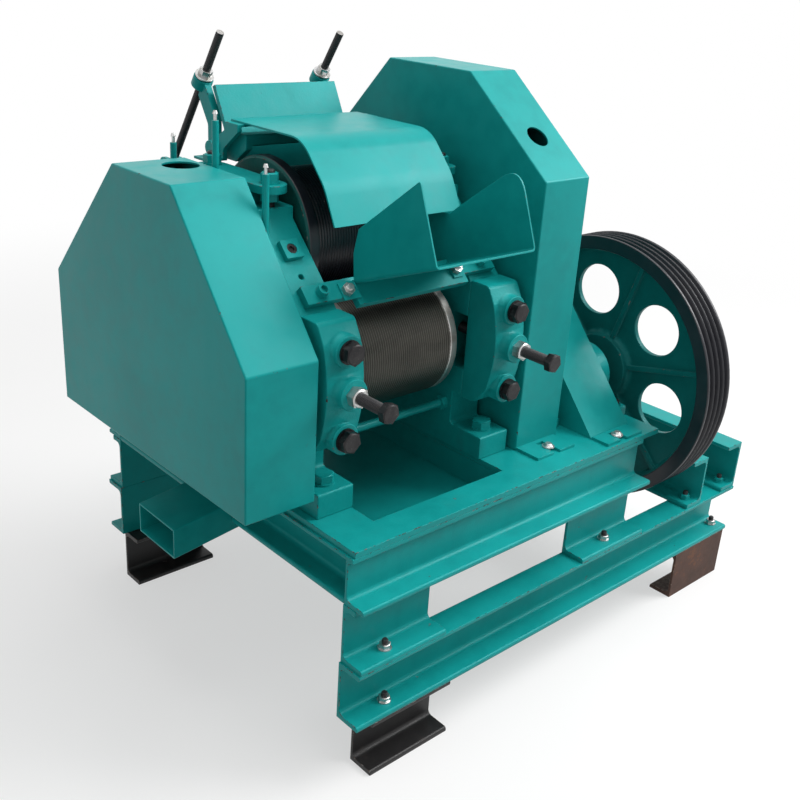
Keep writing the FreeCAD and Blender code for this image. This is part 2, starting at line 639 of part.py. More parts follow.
def cap(x, rear):
    """Cap over a bearing slot: swelling face with three round bosses."""
    face_y = CAP_SEAT_Y - 54.0
    corners = [(CAP_SEAT_Y, CAP_Z[0], 3), (face_y + 22, CAP_Z[0], 22),
               (face_y, CAP_BOLT_Z[0], 20), (face_y - 20.5, ADJUST_Z, 220),
               (face_y, CAP_BOLT_Z[1] + 10, 20), (face_y + 15, CAP_Z[1], 12),
               (CAP_SEAT_Y, CAP_Z[1], 3)]
    body = prism("x", corners, x, x + FRAME_WIDTH)
    mid = x + FRAME_WIDTH / 2
    bosses = [rod("y", (mid, z), CAP_BOSS_R, CAP_BOSS_Y, CAP_SEAT_Y - 10)
              for z in CAP_BOLT_Z]
    bosses.append(rod("y", (mid, ADJUST_Z), CAP_BOSS_R, ADJUST_BOSS_Y, CAP_SEAT_Y - 10))
    body = joined([body] + bosses)
    cuts = [rod("y", (mid, z), CAP_BOLT_R + OPEN_HOLE, CAP_BOSS_Y - 1, CAP_SEAT_Y + 1)
            for z in CAP_BOLT_Z]
    cuts.append(rod("y", (mid, ADJUST_Z), ADJUST_R + 0.3, ADJUST_BOSS_Y - 1,
                    CAP_SEAT_Y + 1))
    body = without(body, cuts)
    return flipped(body) if rear else body


def flipped(shape):
    """The same piece behind the top roller's axis."""
    return shape.mirror(Vec(0, ROLLER_MID_Y, 0), Vec(0, 1, 0))


def cap_bolts():
    """Eight hexagon bolts with washers that hold the caps."""
    pieces = []
    for mid in FRAME_MIDS:
        for z in CAP_BOLT_Z:
            screw = bolt(Vec(mid, CAP_BOSS_Y, z), Vec(0, -1, 0), CAP_BOLT_R,
                         CAP_BOLT_GRIP, 30.0, 13.0, washer=WASHER)
            pieces += [screw, flipped(screw)]
    return pieces


def lock_nuts():
    """Nuts that lock the four adjusting screws against their bosses."""
    pieces = []
    for mid in FRAME_MIDS:
        seat = Vec(mid, ADJUST_BOSS_Y, ADJUST_Z)
        nut = hexagon(seat, Vec(0, -1, 0), ADJUST_FLATS, LOCK_NUT, ADJUST_R + 0.3)
        pieces += [nut, flipped(nut)]
    return pieces


def adjusting_screw(mid, rear):
    """Long screw that presses a lower bearing block inwards."""
    block_face = FRONT_ROLLER[0] - LOWER_BLOCK_SIZE / 2
    seat = Vec(mid, ADJUST_HEAD_Y, ADJUST_Z)
    screw = bolt(seat, Vec(0, -1, 0), ADJUST_R, block_face - seat.y, ADJUST_FLATS, 12.0)
    return flipped(screw) if rear else screw


def lower_block(x, centre):
    """Square block with a round-cornered section and a bore for the journal."""
    half = LOWER_BLOCK_SIZE / 2
    y = centre[0]
    z = centre[1]
    corners = [(y - half, z - half, 4), (y + half, z - half, 4),
               (y + half, z + half, 4), (y - half, z + half, 4)]
    body = prism("x", corners, x, x + FRAME_WIDTH)
    return body.cut(rod("x", centre, BUSH_R, x, x + FRAME_WIDTH))


def top_block(x):
    """Top bearing block, held down by the keeper bar."""
    half = TOP_BLOCK_WIDTH / 2
    body = block((x, x + FRAME_WIDTH), (ROLLER_MID_Y - half, ROLLER_MID_Y + half),
                 (TOP_ROLLER[1] - half, KEEPER_Z[0]))
    return body.cut(rod("x", TOP_ROLLER, BUSH_R, x, x + FRAME_WIDTH))


def bush(x, centre):
    """Bronze bush with a running fit on a journal."""
    return ring("x", centre, BUSH_R, JOURNAL_R + RUN, x, x + FRAME_WIDTH)


def keeper_bar(x):
    """Flat bar over a top bearing block, drilled for its two studs."""
    width = (x, x + FRAME_WIDTH)
    body = block(width, KEEPER_Y, KEEPER_Z)
    holes = [rod("z", ((width[0] + width[1]) / 2, y), STUD_R + OPEN_HOLE, *KEEPER_Z)
             for y in STUD_Y]
    return without(body, holes)


def keeper_studs():
    """Studs with a washer and nuts above and below each keeper bar."""
    nut = 13.0
    return [bolt(Vec(mid, y, KEEPER_Z[1]), Vec(0, 0, 1), STUD_R,
                 KEEPER_Z[1] - STUD_FOOT_Z, 24.0, nut, washer=WASHER,
                 nut_at=KEEPER_Z[1] - KEEPER_Z[0], nut=nut, proud=4.0)
            for mid in FRAME_MIDS for y in STUD_Y]


def hold_down_bolts():
    """Bolts with washers through the frame feet into the top plate."""
    return [bolt(Vec(mid, y, FOOT_HEIGHT), Vec(0, 0, 1), HOLD_DOWN_R,
                 FOOT_HEIGHT + PLATE_THICK, 30.0, 13.0, washer=WASHER)
            for mid in FRAME_MIDS for y in (HOLD_DOWN_Y, mirror_y(HOLD_DOWN_Y))]


def tie_rods():
    """Two rods across the frames with a nut on each side of each frame."""
    nut = 11.0
    pieces = []
    for y in (TIE_ROD[0], mirror_y(TIE_ROD[0])):
        bar = rod("x", (y, TIE_ROD[1]), TIE_ROD_R, LEFT_FRAME_X - nut - 1,
                  OUTER_RIGHT + nut + 1)
        nuts = [hexagon(Vec(x, y, TIE_ROD[1]), Vec(1, 0, 0), 21.0, nut)
                for x in (LEFT_FRAME_X - nut, INNER_LEFT, RIGHT_FRAME_X - nut,
                          OUTER_RIGHT)]
        pieces.append(joined([bar] + nuts))
    return pieces


def turner_bar():
    """Bar under the nips whose crown turns the cane from one nip to the other."""
    gap = 3.0
    crown_gap = 8.0
    crown_x = LOWER_BARREL
    reach = 34.0
    crown = block(crown_x, (ROLLER_MID_Y - reach, ROLLER_MID_Y + reach),
                  (130.0, TOP_ROLLER[1] - BARREL_R))
    foot = prism("x", [(ROLLER_MID_Y - 20, 100), (ROLLER_MID_Y + 20, 100),
                       (ROLLER_MID_Y + 20, 136, 6), (ROLLER_MID_Y - 20, 136, 6)],
                 INNER_LEFT, RIGHT_FRAME_X)
    body = joined([crown, foot])
    past = (crown_x[0] - 1, crown_x[1] + 1)
    body = without(body, [rod("x", FRONT_ROLLER, BARREL_R + gap, *past),
                          rod("x", REAR_ROLLER, BARREL_R + gap, *past),
                          rod("x", TOP_ROLLER, BARREL_R + crown_gap, *past)])
    spigots = rod("x", TURNER_SPIGOT, SPIGOT_R, INNER_LEFT - SPIGOT_LENGTH,
                  RIGHT_FRAME_X + SPIGOT_LENGTH)
    return joined([body, spigots])


# ---- cross plates and their fixings -------------------------------------------------
CROSS_THICK = 12.7
NARROW = (3.0, 33.0)          # along the slope, over the frames
WIDE_START = -29.7            # lower edge between the frames
STRIP_X = (LEFT_FRAME_X + 14.0, OUTER_RIGHT - 14.0)
WIDE_X = (INNER_LEFT + 32.0, RIGHT_FRAME_X - 1.0)
SCREW_X = (INNER_LEFT - 24.0, RIGHT_FRAME_X + 24.0)
SLIDE_ALONG = (-120.0, 45.0)
SLIDE_THICK = 8.0
SLIDE_GAP = 3.0               # from each side frame
EAR_THICK = 8.0
LUG_X = (HOPPER[0] - 2.0, HOPPER[1] + 2.0)
LUG = 3.0
LUG_STUD_R = 5.0
LUG_START = -11.0
PAD_SCREW_R = 5.0
PAD_HEAD_R = 8.0
PAD_ALONG = (88.0, 118.0)
PAD_THICK = 9.0
SPARE_HOLE_ALONG = 61.0       # drilled but unused, above the cross plate
SPARE_HOLE_R = 4.0
ROOT2 = math.sqrt(2.0)


def slope_point(along, proud):
    """(y, z) on the front 45-degree slope: along it upwards, and proud of it."""
    return (CAP_SEAT_Y + (along - proud) / ROOT2, CAP_SEAT_Z[1] + (along + proud) / ROOT2)


def slope_plate(x, along, thick, lift=0.0):
    """Flat plate lying on the front slope."""
    corners = [slope_point(along[0], lift), slope_point(along[1], lift),
               slope_point(along[1], lift + thick), slope_point(along[0], lift + thick)]
    return prism("x", corners, x[0], x[1])


def on_slope(x, along, proud):
    """3-D point on the front slope."""
    y, z = slope_point(along, proud)
    return Vec(x, y, z)


SLOPE_OUT = Vec(0, -1 / ROOT2, 1 / ROOT2)
STRIP_MID = (NARROW[0] + NARROW[1]) / 2
CROSS_SCREW_R = 6.0
CROSS_SCREW_LENGTH = 40.0


def slope_hole(x, along, radius, depth):
    """Cutter square to the slope, down from above the cross plate."""
    start = on_slope(x, along, CROSS_THICK + 5)
    return Part.makeCylinder(radius, depth + CROSS_THICK + 5, start, SLOPE_OUT * -1)


def front_cross_plate():
    """Plate across the front slopes: narrow over the frames, wide between them."""
    strip = slope_plate(STRIP_X, NARROW, CROSS_THICK)
    wide = slope_plate(WIDE_X, (WIDE_START, NARROW[1]), CROSS_THICK)
    holes = [slope_hole(x, STRIP_MID, CROSS_SCREW_R + OPEN_HOLE, 1) for x in SCREW_X]
    holes += [slope_hole(x, STRIP_MID, LUG_STUD_R + FIT, 1) for x in LUG_X]
    return without(joined([strip, wide]), holes)


def rear_chute():
    """Discharge slide over the rear slopes, with the ears that hold the rods."""
    strip = slope_plate(STRIP_X, NARROW, CROSS_THICK)
    slide = slope_plate((INNER_LEFT + SLIDE_GAP, RIGHT_FRAME_X - SLIDE_GAP), SLIDE_ALONG,
                        SLIDE_THICK, CROSS_THICK - SLIDE_THICK)
    holes = [slope_hole(x, STRIP_MID, CROSS_SCREW_R + OPEN_HOLE, 1) for x in SCREW_X]
    body = flipped(without(joined([strip, slide]), holes))
    seat = CROSS_THICK - 3.0
    root = slope_point(-60.0, seat)
    root_top = slope_point(-5.0, seat)
    pin_y, pin_z = ROD_PIN
    corners = [(mirror_y(root[0]), root[1]), (pin_y + 14, pin_z - 12),
               (pin_y + 14, pin_z + 14, 10), (pin_y - 12, pin_z + 14, 10),
               (mirror_y(root_top[0]), root_top[1])]
    ears = []
    for x in ROD_X:
        for low in (x - KNUCKLE_HALF - EAR_THICK, x + KNUCKLE_HALF):
            ear = prism("x", corners, low, low + EAR_THICK)
            ears.append(ear.cut(rod("x", ROD_PIN, ROD_PIN_R + FIT, low, low + EAR_THICK)))
    return joined([body] + ears)


def cross_plate_screws():
    """Socket screws, front and rear, and the studs and nuts of the hopper lugs."""
    pieces = []
    for x in SCREW_X:
        screw = socket_screw(on_slope(x, STRIP_MID, CROSS_THICK), SLOPE_OUT,
                             CROSS_SCREW_R, CROSS_SCREW_LENGTH, 9.0, 12.0, 10.0)
        pieces += [screw, flipped(screw)]
    for x in LUG_X:
        seat = on_slope(x, STRIP_MID, CROSS_THICK + LUG)
        pieces.append(bolt(seat, SLOPE_OUT, LUG_STUD_R, CROSS_THICK + LUG, 17.0, 8.0,
                           proud=6.0))
    return pieces


def pad_blocks():
    """Small drilled blocks screwed to the front slopes above the cross plate."""
    pieces = []
    middle = sum(PAD_ALONG) / 2
    for mid in FRAME_MIDS:
        pad = slope_plate((mid - 15, mid + 15), PAD_ALONG, PAD_THICK)
        seat = PAD_THICK - 7.0
        bore = Part.makeCylinder(PAD_HEAD_R + FIT, 20.0, on_slope(mid, middle, seat),
                                 SLOPE_OUT)
        pad = without(pad, [slope_hole(mid, middle, PAD_SCREW_R + OPEN_HOLE, 1), bore])
        pieces += [pad, socket_screw(on_slope(mid, middle, seat), SLOPE_OUT, PAD_SCREW_R,
                                     30.0, PAD_HEAD_R, 6.0, 8.0)]
    return pieces


# ---- hopper, hood and scraper -------------------------------------------------------
HOPPER_FRONT = (0.0, 390.0)
HOPPER_REAR = (140.0, 337.0)
HOOD_LIP = (180.0, 410.0)
HOOD_TOP_Z = 522.0
HOOD_REAR_Y = 442.0


def hopper():
    """Bent U of sheet: sloping floor, two cheeks and two lugs on the cross plate."""
    slope = (HOPPER_REAR[1] - HOPPER_FRONT[1]) / (HOPPER_REAR[0] - HOPPER_FRONT[0])
    floor = [HOPPER_FRONT, HOPPER_REAR, (HOPPER_REAR[0], HOPPER_REAR[1] + SHEET),
             (HOPPER_FRONT[0] + 1, HOPPER_FRONT[1] + SHEET)]
    cheek = [HOPPER_FRONT, HOPPER_REAR, (HOPPER_REAR[0] + 14, HOOD_LIP[1] - 8),
             (81, 480, 60), (42, 498, 8)]
    pieces = [prism("x", floor, *HOPPER)]
    for x in (HOPPER[0], HOPPER[1] - SHEET):
        pieces.append(prism("x", cheek, x, x + SHEET))
    for x in LUG_X:
        lug_top = HOPPER_FRONT[1] + slope * (HOPPER_REAR[0] - 1)
        ear = slope_plate((x - 10, x + 10), (LUG_START, NARROW[1]), LUG, CROSS_THICK)
        ear = ear.cut(slope_hole(x, STRIP_MID, LUG_STUD_R + FIT, 1))
        riser_base = slope_point(LUG_START, CROSS_THICK + LUG)
        riser = [(riser_base[0], riser_base[1]), slope_point(LUG_START + 4, CROSS_THICK),
                 (riser_base[0] + 4, lug_top + 1), (riser_base[0], lug_top + 1)]
        pieces += [ear, prism("x", riser, x - 10, x + 10)]
    return joined(pieces)


def hood():
    """Curved sheet over the top roller, with a flat top."""
    outer = [HOOD_LIP, (206, 462, 90), (262, HOOD_TOP_Z, 60), (HOOD_REAR_Y, HOOD_TOP_Z)]
    inner = [(HOOD_REAR_Y, HOOD_TOP_Z - SHEET), (263.3, HOOD_TOP_Z - SHEET, 57),
             (208.8, 461, 87), (HOOD_LIP[0] + SHEET, HOOD_LIP[1])]
    return prism("x", outer + inner, *HOOD)


PIVOT = (474.0, 474.0)
PIVOT_R = 7.0
ARM_THICK = 12.0
ROD_X = (INNER_LEFT + 19.0, RIGHT_FRAME_X - 19.0)
ROD_TOP = (487.0, 644.0)
ROD_PIN = (640.0, 415.0)
ROD_R = 6.0
ROD_PIN_R = 6.0
KNUCKLE_HALF = 7.0            # half length of the rod's knuckle between its ears
EYE_ALONG = 180.0             # from the rod pin to the eye
EYE_HOLE_R = 10.0
EYE_GAP = 1.5
EYE_HALF = 9.0                # half length of an eye along its rod
EYE_R = 16.0
ROD_NUT_FLATS = 19.0
ROD_NUT = 11.0
PIVOT_HEAD_R = 11.0
BRACKET = 8.0                 # plate thickness
BRACKET_FOOT = (446.0, 482.0)  # y, on the keeper bar behind its stud
SHELF = (406.0, 440.0)        # y, under the hood
SHELF_THICK = 4.0
ROD_LENGTH = math.dist(ROD_TOP, ROD_PIN)
ROD_DIR = Vec(0, (ROD_TOP[0] - ROD_PIN[0]) / ROD_LENGTH,
              (ROD_TOP[1] - ROD_PIN[1]) / ROD_LENGTH)
EYE = (ROD_PIN[0] + ROD_DIR.y * EYE_ALONG, ROD_PIN[1] + ROD_DIR.z * EYE_ALONG)


def hood_brackets():
    """Plates on the keeper bars: they carry the scraper's pivots and the hood."""
    pieces = []
    under = HOOD_TOP_Z - SHEET
    edge = (ROD_X[0] - ARM_THICK / 2, ROD_X[1] + ARM_THICK / 2)
    corners = [(BRACKET_FOOT[0], KEEPER_Z[1]), (PIVOT[0] + 12, KEEPER_Z[1]),
               (PIVOT[0] + 12, PIVOT[1] + 14, 10), (PIVOT[0] - 8, PIVOT[1] + 18, 10),
               (SHELF[1], under - 12, 12), (SHELF[1], under), (SHELF[0], under),
               (SHELF[0], under - 12, 4), (BRACKET_FOOT[0], PIVOT[1] + 2, 14)]
    for side, inner, arm in ((1, INNER_LEFT, edge[0]), (-1, RIGHT_FRAME_X, edge[1])):
        def span(a, b):
            return tuple(sorted((inner + side * a, inner + side * b)))
        half = BRACKET / 2
        plate = prism("x", corners, *span(-half, half))
        plate = plate.cut(rod("x", PIVOT, PIVOT_R + RUN, *span(-half, half)))
        shelf = block(span(-half, 24), SHELF, (under - SHELF_THICK, under))
        foot = block(span(-34, -half), BRACKET_FOOT,
                     (KEEPER_Z[1], KEEPER_Z[1] + SHELF_THICK))
        pieces.append(joined([plate, shelf, foot]))
        low = min(inner - side * half, arm + side * ARM_THICK)
        high = max(inner - side * half, arm + side * ARM_THICK)
        head = (low - 8, low) if side > 0 else (high, high + 8)
        pin = rod("x", PIVOT, PIVOT_R, low, high)
        pieces.append(pin.fuse(rod("x", PIVOT, PIVOT_HEAD_R, *head)))
    return pieces


def scraper_yoke():
    """Two cranked arms with eyes, side cheeks and the bar that joins them."""
    cheek = [(408, 480, 4), (408, 502, 4), (434, 502, 6), (446, 490, 6), (493, 490),
             (493, 514, 10), (526, 566), (552, 556), (516, 502, 10), (516, 449),
             (494, 449), (494, 457), (436, 457, 4), (424, 468)]
    pieces = []
    for x in ROD_X:
        low = x - ARM_THICK / 2
        high = x + ARM_THICK / 2
        arm = prism("x", cheek, low, high)
        eye_low = Vec(x, *EYE) - ROD_DIR * EYE_HALF
        eye = Part.makeCylinder(EYE_R, 2 * EYE_HALF, eye_low, ROD_DIR)
        arm = joined([arm, eye])
        hole = Part.makeCylinder(EYE_HOLE_R, 60.0, eye_low - ROD_DIR * 20, ROD_DIR)
        pivot = rod("x", PIVOT, PIVOT_R + RUN, low, high)
        pieces.append(without(arm, [hole, pivot]))
    bar = prism("x", [(408, 484, 4), (408, 502, 4), (432, 502), (432, 498), (413, 498, 2),
                      (413, 484)], ROD_X[0] + ARM_THICK / 2, ROD_X[1] - ARM_THICK / 2)
    return joined(pieces + [bar])


SCRAPER_TIP = (427.6, 427.6)
SCRAPER_TOP = (501.0, 565.0)
SCRAPER_THICK = 8.0


def scraper_plate():
    """Leaning plate whose sharpened lower edge cleans the top roller's barrel."""
    length = math.dist(SCRAPER_TIP, SCRAPER_TOP)
    unit = ((SCRAPER_TOP[0] - SCRAPER_TIP[0]) / length,
            (SCRAPER_TOP[1] - SCRAPER_TIP[1]) / length)
    square = (unit[1], -unit[0])

    def at(along, off):
        return (SCRAPER_TIP[0] + unit[0] * along + square[0] * off,
                SCRAPER_TIP[1] + unit[1] * along + square[1] * off)

    neck = 34.0
    shoulder = 84.0
    blade = [at(0, 0), at(neck, 0), at(neck, SCRAPER_THICK), at(12, SCRAPER_THICK)]
    middle = [at(neck, 0), at(shoulder, 0), at(shoulder, SCRAPER_THICK),
              at(neck, SCRAPER_THICK)]
    sheet = [at(shoulder, 0), at(length, 0), at(length, SCRAPER_THICK),
             at(shoulder, SCRAPER_THICK)]
    inner = (ROD_X[0] + ARM_THICK / 2, ROD_X[1] - ARM_THICK / 2)
    return joined([prism("x", blade, *LOWER_BARREL), prism("x", middle, *inner),
                   prism("x", sheet, ROD_X[0] - 2, ROD_X[1] + 2)])


def scraper_rods():
    """Threaded rods pinned to the rear ears, passing through the eyes."""
    pieces = []
    for x in ROD_X:
        shaft = Part.makeCylinder(ROD_R, ROD_LENGTH - 10, Vec(x, *ROD_PIN) + ROD_DIR * 10,
                                  ROD_DIR)
        knuckle = rod("x", ROD_PIN, ROD_PIN_R + 5, x - KNUCKLE_HALF, x + KNUCKLE_HALF)
        hole = rod("x", ROD_PIN, ROD_PIN_R + FIT, x - KNUCKLE_HALF, x + KNUCKLE_HALF)
        pieces.append(joined([shaft, knuckle]).cut(hole))
        outer = KNUCKLE_HALF + EAR_THICK
        pin = rod("x", ROD_PIN, ROD_PIN_R, x - outer - 3, x + outer + 3)
        pieces.append(pin.fuse(rod("x", ROD_PIN, ROD_PIN_R + 3, x - outer - 6, x - outer)))
    return pieces


def rod_nut(x):
    """Nut and washer above an eye."""
    start = Vec(x, *EYE) + ROD_DIR * (EYE_HALF + EYE_GAP)
    washer = Part.makeCylinder(EYE_R - 1, WASHER, start, ROD_DIR)
    bore = Part.makeCylinder(ROD_R + RUN, 40.0, start - ROD_DIR, ROD_DIR)
    nut = hexagon(start + ROD_DIR * WASHER, ROD_DIR, ROD_NUT_FLATS, ROD_NUT)
    return nut.fuse(washer).cut(bore)


# ---- covers -------------------------------------------------------------------------
def shell(x, corners, bottomless):
    """Box of sheet with the given outline, its floor left open if asked."""
    outer = prism("x", corners, x[0], x[1])
    inner = inset(corners, SHEET, bottomless)
    return outer.cut(prism("x", inner, x[0] + SHEET, x[1] - SHEET))


def inset(corners, wall, bottomless):
    """Convex outline moved inwards by a wall; the lowest edge stays open if asked."""
    floor = min(c[1] for c in corners)
    lines = []
    count = len(corners)
    for index in range(count):
        a = corners[index]
        b = corners[(index + 1) % count]
        length = math.dist(a[:2], b[:2])
        normal = ((b[1] - a[1]) / length, -(b[0] - a[0]) / length)
        shift = wall
        if bottomless and a[1] == floor and b[1] == floor:
            shift = -1.0
        lines.append((a[0] + normal[0] * shift, a[1] + normal[1] * shift,
                      (b[0] - a[0]) / length, (b[1] - a[1]) / length))
    result = []
    for index in range(count):
        x1, y1, dx1, dy1 = lines[index - 1]
        x2, y2, dx2, dy2 = lines[index]
        cross = dx1 * dy2 - dy1 * dx2
        t = ((x2 - x1) * dy2 - (y2 - y1) * dx2) / cross
        result.append((x1 + dx1 * t, y1 + dy1 * t))
    return result


PLATE_BOLT_R = 5.0
LEFT_COVER_OUTLINE = [(93, 40), (93, 257), (270, 472), (430, 472), (630, 267), (630, 40)]
LEFT_COVER_BOLTS = ((150.0, 120.0), (560.0, 120.0), (290.0, 60.0), (420.0, 60.0))
OIL_HOLE = (-37.0, 381.0)     # x, y
OIL_HOLE_R = 27.0
RIGHT_COVER_OUTLINE = [(92, 0), (92, 461), (275, 606), (472, 606), (612, 461), (612, 0)]
SIGHT_HOLE = (194.0, 478.0)   # y, z, under the sloping face it is cut square to
SIGHT_HOLE_R = 20.0
GUARD_OUTLINE = [(43, 0), (225, 209), (372, 209), (442, 0)]
TAB = 5.0
COVER_TAB = (50.0, 8.5)       # depth of a tab, half width of its slot
GUARD_TAB = (37.0, 9.0)
COVER_BOLT_X = RIGHT_COVER[0] + 51.5
GUARD_BOLT_X = GUARD[0] + 45.0
TAB_BOLT_INSET = 29.0         # from the tab's tip to its bolt, on the right cover
GUARD_BOLT_INSET = 21.0       # from the guard's foot to its bolt


def left_gear_cover():
    """Closed cover over the three roller gears, with an oiling hole in its top."""
    body = shell(LEFT_COVER, LEFT_COVER_OUTLINE, False)
    wide = (LEFT_COVER[1] - SHEET - 1, LEFT_COVER[1] + 1)
    window = [(TOP_ROLLER[0] - 60, TOP_ROLLER[1] + 60, 20),
              (TOP_ROLLER[0] + 60, TOP_ROLLER[1] + 60, 20),
              (REAR_ROLLER[0] + 60, REAR_ROLLER[1] + 50, 20),
              (REAR_ROLLER[0] + 60, REAR_ROLLER[1] - 60, 20),
              (FRONT_ROLLER[0] - 60, FRONT_ROLLER[1] - 60, 20),
              (FRONT_ROLLER[0] - 60, FRONT_ROLLER[1] + 50, 20)]
    top = max(corner[1] for corner in LEFT_COVER_OUTLINE)
    oil_hole = rod("z", OIL_HOLE, OIL_HOLE_R, top - SHEET - 1, top + 1)
    bolts = [rod("x", spot, PLATE_BOLT_R + OPEN_HOLE, *wide) for spot in LEFT_COVER_BOLTS]
    return without(body, [prism("x", window, *wide), oil_hole] + bolts)


def forked_tabs(x, outline_y, bolt_x, size):
    """Foot tabs in front of and behind a cover, open slots in them for plate bolts."""
    depth, slot_half = size
    front, rear = outline_y
    tab = block(x, (front - depth, front), (0, TAB))
    slot = block((bolt_x - slot_half, bolt_x + slot_half), (front - depth - 1, front - 8),
                 (-1, TAB + 1))
    tab = tab.cut(slot)
    return [tab, tab.mirror(Vec(0, (front + rear) / 2, 0), Vec(0, 1, 0))]


def right_gear_cover():
    """Cover over the bull gear, slotted from below for both shafts."""
    body = shell(RIGHT_COVER, RIGHT_COVER_OUTLINE, True)
    inner = (RIGHT_COVER[0] - 1, RIGHT_COVER[0] + SHEET + 1)
    outer = (RIGHT_COVER[1] - SHEET - 1, RIGHT_COVER[1] + 1)
    (y1, z1), (y2, z2) = RIGHT_COVER_OUTLINE[1:3]
    slope = math.dist((y1, z1), (y2, z2))
    square = Vec(0, (z1 - z2) / slope, (y2 - y1) / slope)
    sight = Part.makeCylinder(SIGHT_HOLE_R, 80.0, Vec(COVER_BOLT_X, *SIGHT_HOLE), square)
    body = without(body, [shaft_slot(COUNTER_SHAFT, COUNTER_R, *outer),
                          shaft_slot(COUNTER_SHAFT, COUNTER_R, *inner),
                          shaft_slot(TOP_ROLLER, JOURNAL_R, *inner), sight])
    edges = (RIGHT_COVER_OUTLINE[0][0], RIGHT_COVER_OUTLINE[-1][0])
    tabs = forked_tabs((RIGHT_COVER[0] + 2, RIGHT_COVER[1] - 9), edges, COVER_BOLT_X,
                       COVER_TAB)
    return joined([body] + tabs)


def shaft_slot(centre, shaft_r, low, high):
    """Cutter for a slot that lets a cover drop over a shaft."""
    y, z = centre
    half = shaft_r + 7.0
    corners = [(y - half, -1), (y + half, -1), (y + half, z + half, half * 0.9),
               (y - half, z + half, half * 0.9)]
    return prism("x", corners, low, high)


def lower_gear_cover():
    """Guard over the first gear pair, with slots for both shafts."""
    body = shell(GUARD, GUARD_OUTLINE, True)
    left = (GUARD[0] - 1, GUARD[0] + SHEET + 1)
    right = (GUARD[1] - SHEET - 1, GUARD[1] + 1)
    body = without(body, [shaft_slot(PULLEY_SHAFT, COUNTER_R, *left),
                          shaft_slot(PULLEY_SHAFT, COUNTER_R, *right),
                          shaft_slot(COUNTER_SHAFT, COUNTER_R, *left)])
    edges = (GUARD_OUTLINE[0][0], GUARD_OUTLINE[-1][0])
    tabs = forked_tabs((GUARD[0], GUARD[1] - 9), edges, GUARD_BOLT_X, GUARD_TAB)
    return joined([body] + tabs)


def dome_bolt(x, y, base):
    """Round-headed bolt with a washer, down into the top plate."""
    washer = Part.makeCylinder(11.0, 2.0, Vec(x, y, base))
    head = Part.makeCone(9.5, 5.5, 5.0, Vec(x, y, base + 2))
    shank = rod("z", (x, y), PLATE_BOLT_R, -PLATE_THICK, base + 2)
    return joined([washer, head, shank])


def cover_bolt_spots():
    """(x, y) of the plate bolts in the tabs of the right cover and the guard."""
    front, rear = RIGHT_COVER_OUTLINE[0][0], RIGHT_COVER_OUTLINE[-1][0]
    guard_front, guard_rear = GUARD_OUTLINE[0][0], GUARD_OUTLINE[-1][0]
    return ((COVER_BOLT_X, front - TAB_BOLT_INSET), (COVER_BOLT_X, rear + TAB_BOLT_INSET),
            (GUARD_BOLT_X, guard_front - GUARD_BOLT_INSET),
            (GUARD_BOLT_X, guard_rear + GUARD_BOLT_INSET))


def cover_bolts():
    """Bolts of the three gear covers; the left cover's stand on spacers."""
    pieces = [dome_bolt(x, y, TAB) for x, y in cover_bolt_spots()]
    for spot in LEFT_COVER_BOLTS:
        spacer = rod("x", spot, 9.0, LEFT_COVER[1], LEFT_FRAME_X)
        screw = bolt(Vec(LEFT_COVER[1] - SHEET, *spot), Vec(-1, 0, 0), PLATE_BOLT_R,
                     LEFT_FRAME_X - LEFT_COVER[1] + SHEET, 17.0, 7.0)
        pieces.append(joined([spacer, screw]))
    return pieces


# ---- shaft supports -----------------------------------------------------------------
PEDESTAL_BOLTS = (55.0, 58.0)  # outside the pulley shaft and the intermediate shaft
PEDESTAL_SPOT_Z = 15.0
PILLOW_BOLT = 82.0            # to each side of the pulley shaft
PILLOW_BOLT_R = 8.0
PILLOW_SPOT_Z = 17.0
PILLOW_FOOT_HALF = 103.0
PILLOW_BODY_R = 57.0
INSERT_R = 40.0
INSERT_PROUD = 8.0


def shaft_pedestal():
    """Cast stand between the covers with bores for both drive shafts."""
    y1, z1 = PULLEY_SHAFT
    y2, z2 = COUNTER_SHAFT
    corners = [(y1 - 66, 0), (y2 + 70, 0), (y2 + 70, 16, 4), (y2 + 44, 22, 10),
               (y2 + 36, z2 + 30, 26), (y2 - 30, z2 + 42, 26), (y1 - 10, z1 + 42, 20),
               (y1 - 40, z1 + 24, 20), (y1 - 42, 20, 8), (y1 - 66, 16, 4)]
    body = prism("x", corners, *PEDESTAL_X)
    cuts = [rod("x", centre, COUNTER_R + BUSH_WALL, *PEDESTAL_X)
            for centre in (PULLEY_SHAFT, COUNTER_SHAFT)]
    mid = sum(PEDESTAL_X) / 2
    for y in (y1 - PEDESTAL_BOLTS[0], y2 + PEDESTAL_BOLTS[1]):
        cuts.append(rod("z", (mid, y), PLATE_BOLT_R + OPEN_HOLE, -1, 30))
        cuts.append(rod("z", (mid, y), 12.0, PEDESTAL_SPOT_Z, 30))
    return without(body, cuts)


def shaft_bushes():
    """Bronze bushes of the right frame and the pedestal."""
    outer = COUNTER_R + BUSH_WALL
    inner = COUNTER_R + RUN
    spots = ((COUNTER_SHAFT, (RIGHT_FRAME_X, OUTER_RIGHT)), (COUNTER_SHAFT, PEDESTAL_X),
             (PULLEY_SHAFT, PEDESTAL_X))
    return [ring("x", centre, outer, inner, *span) for centre, span in spots]


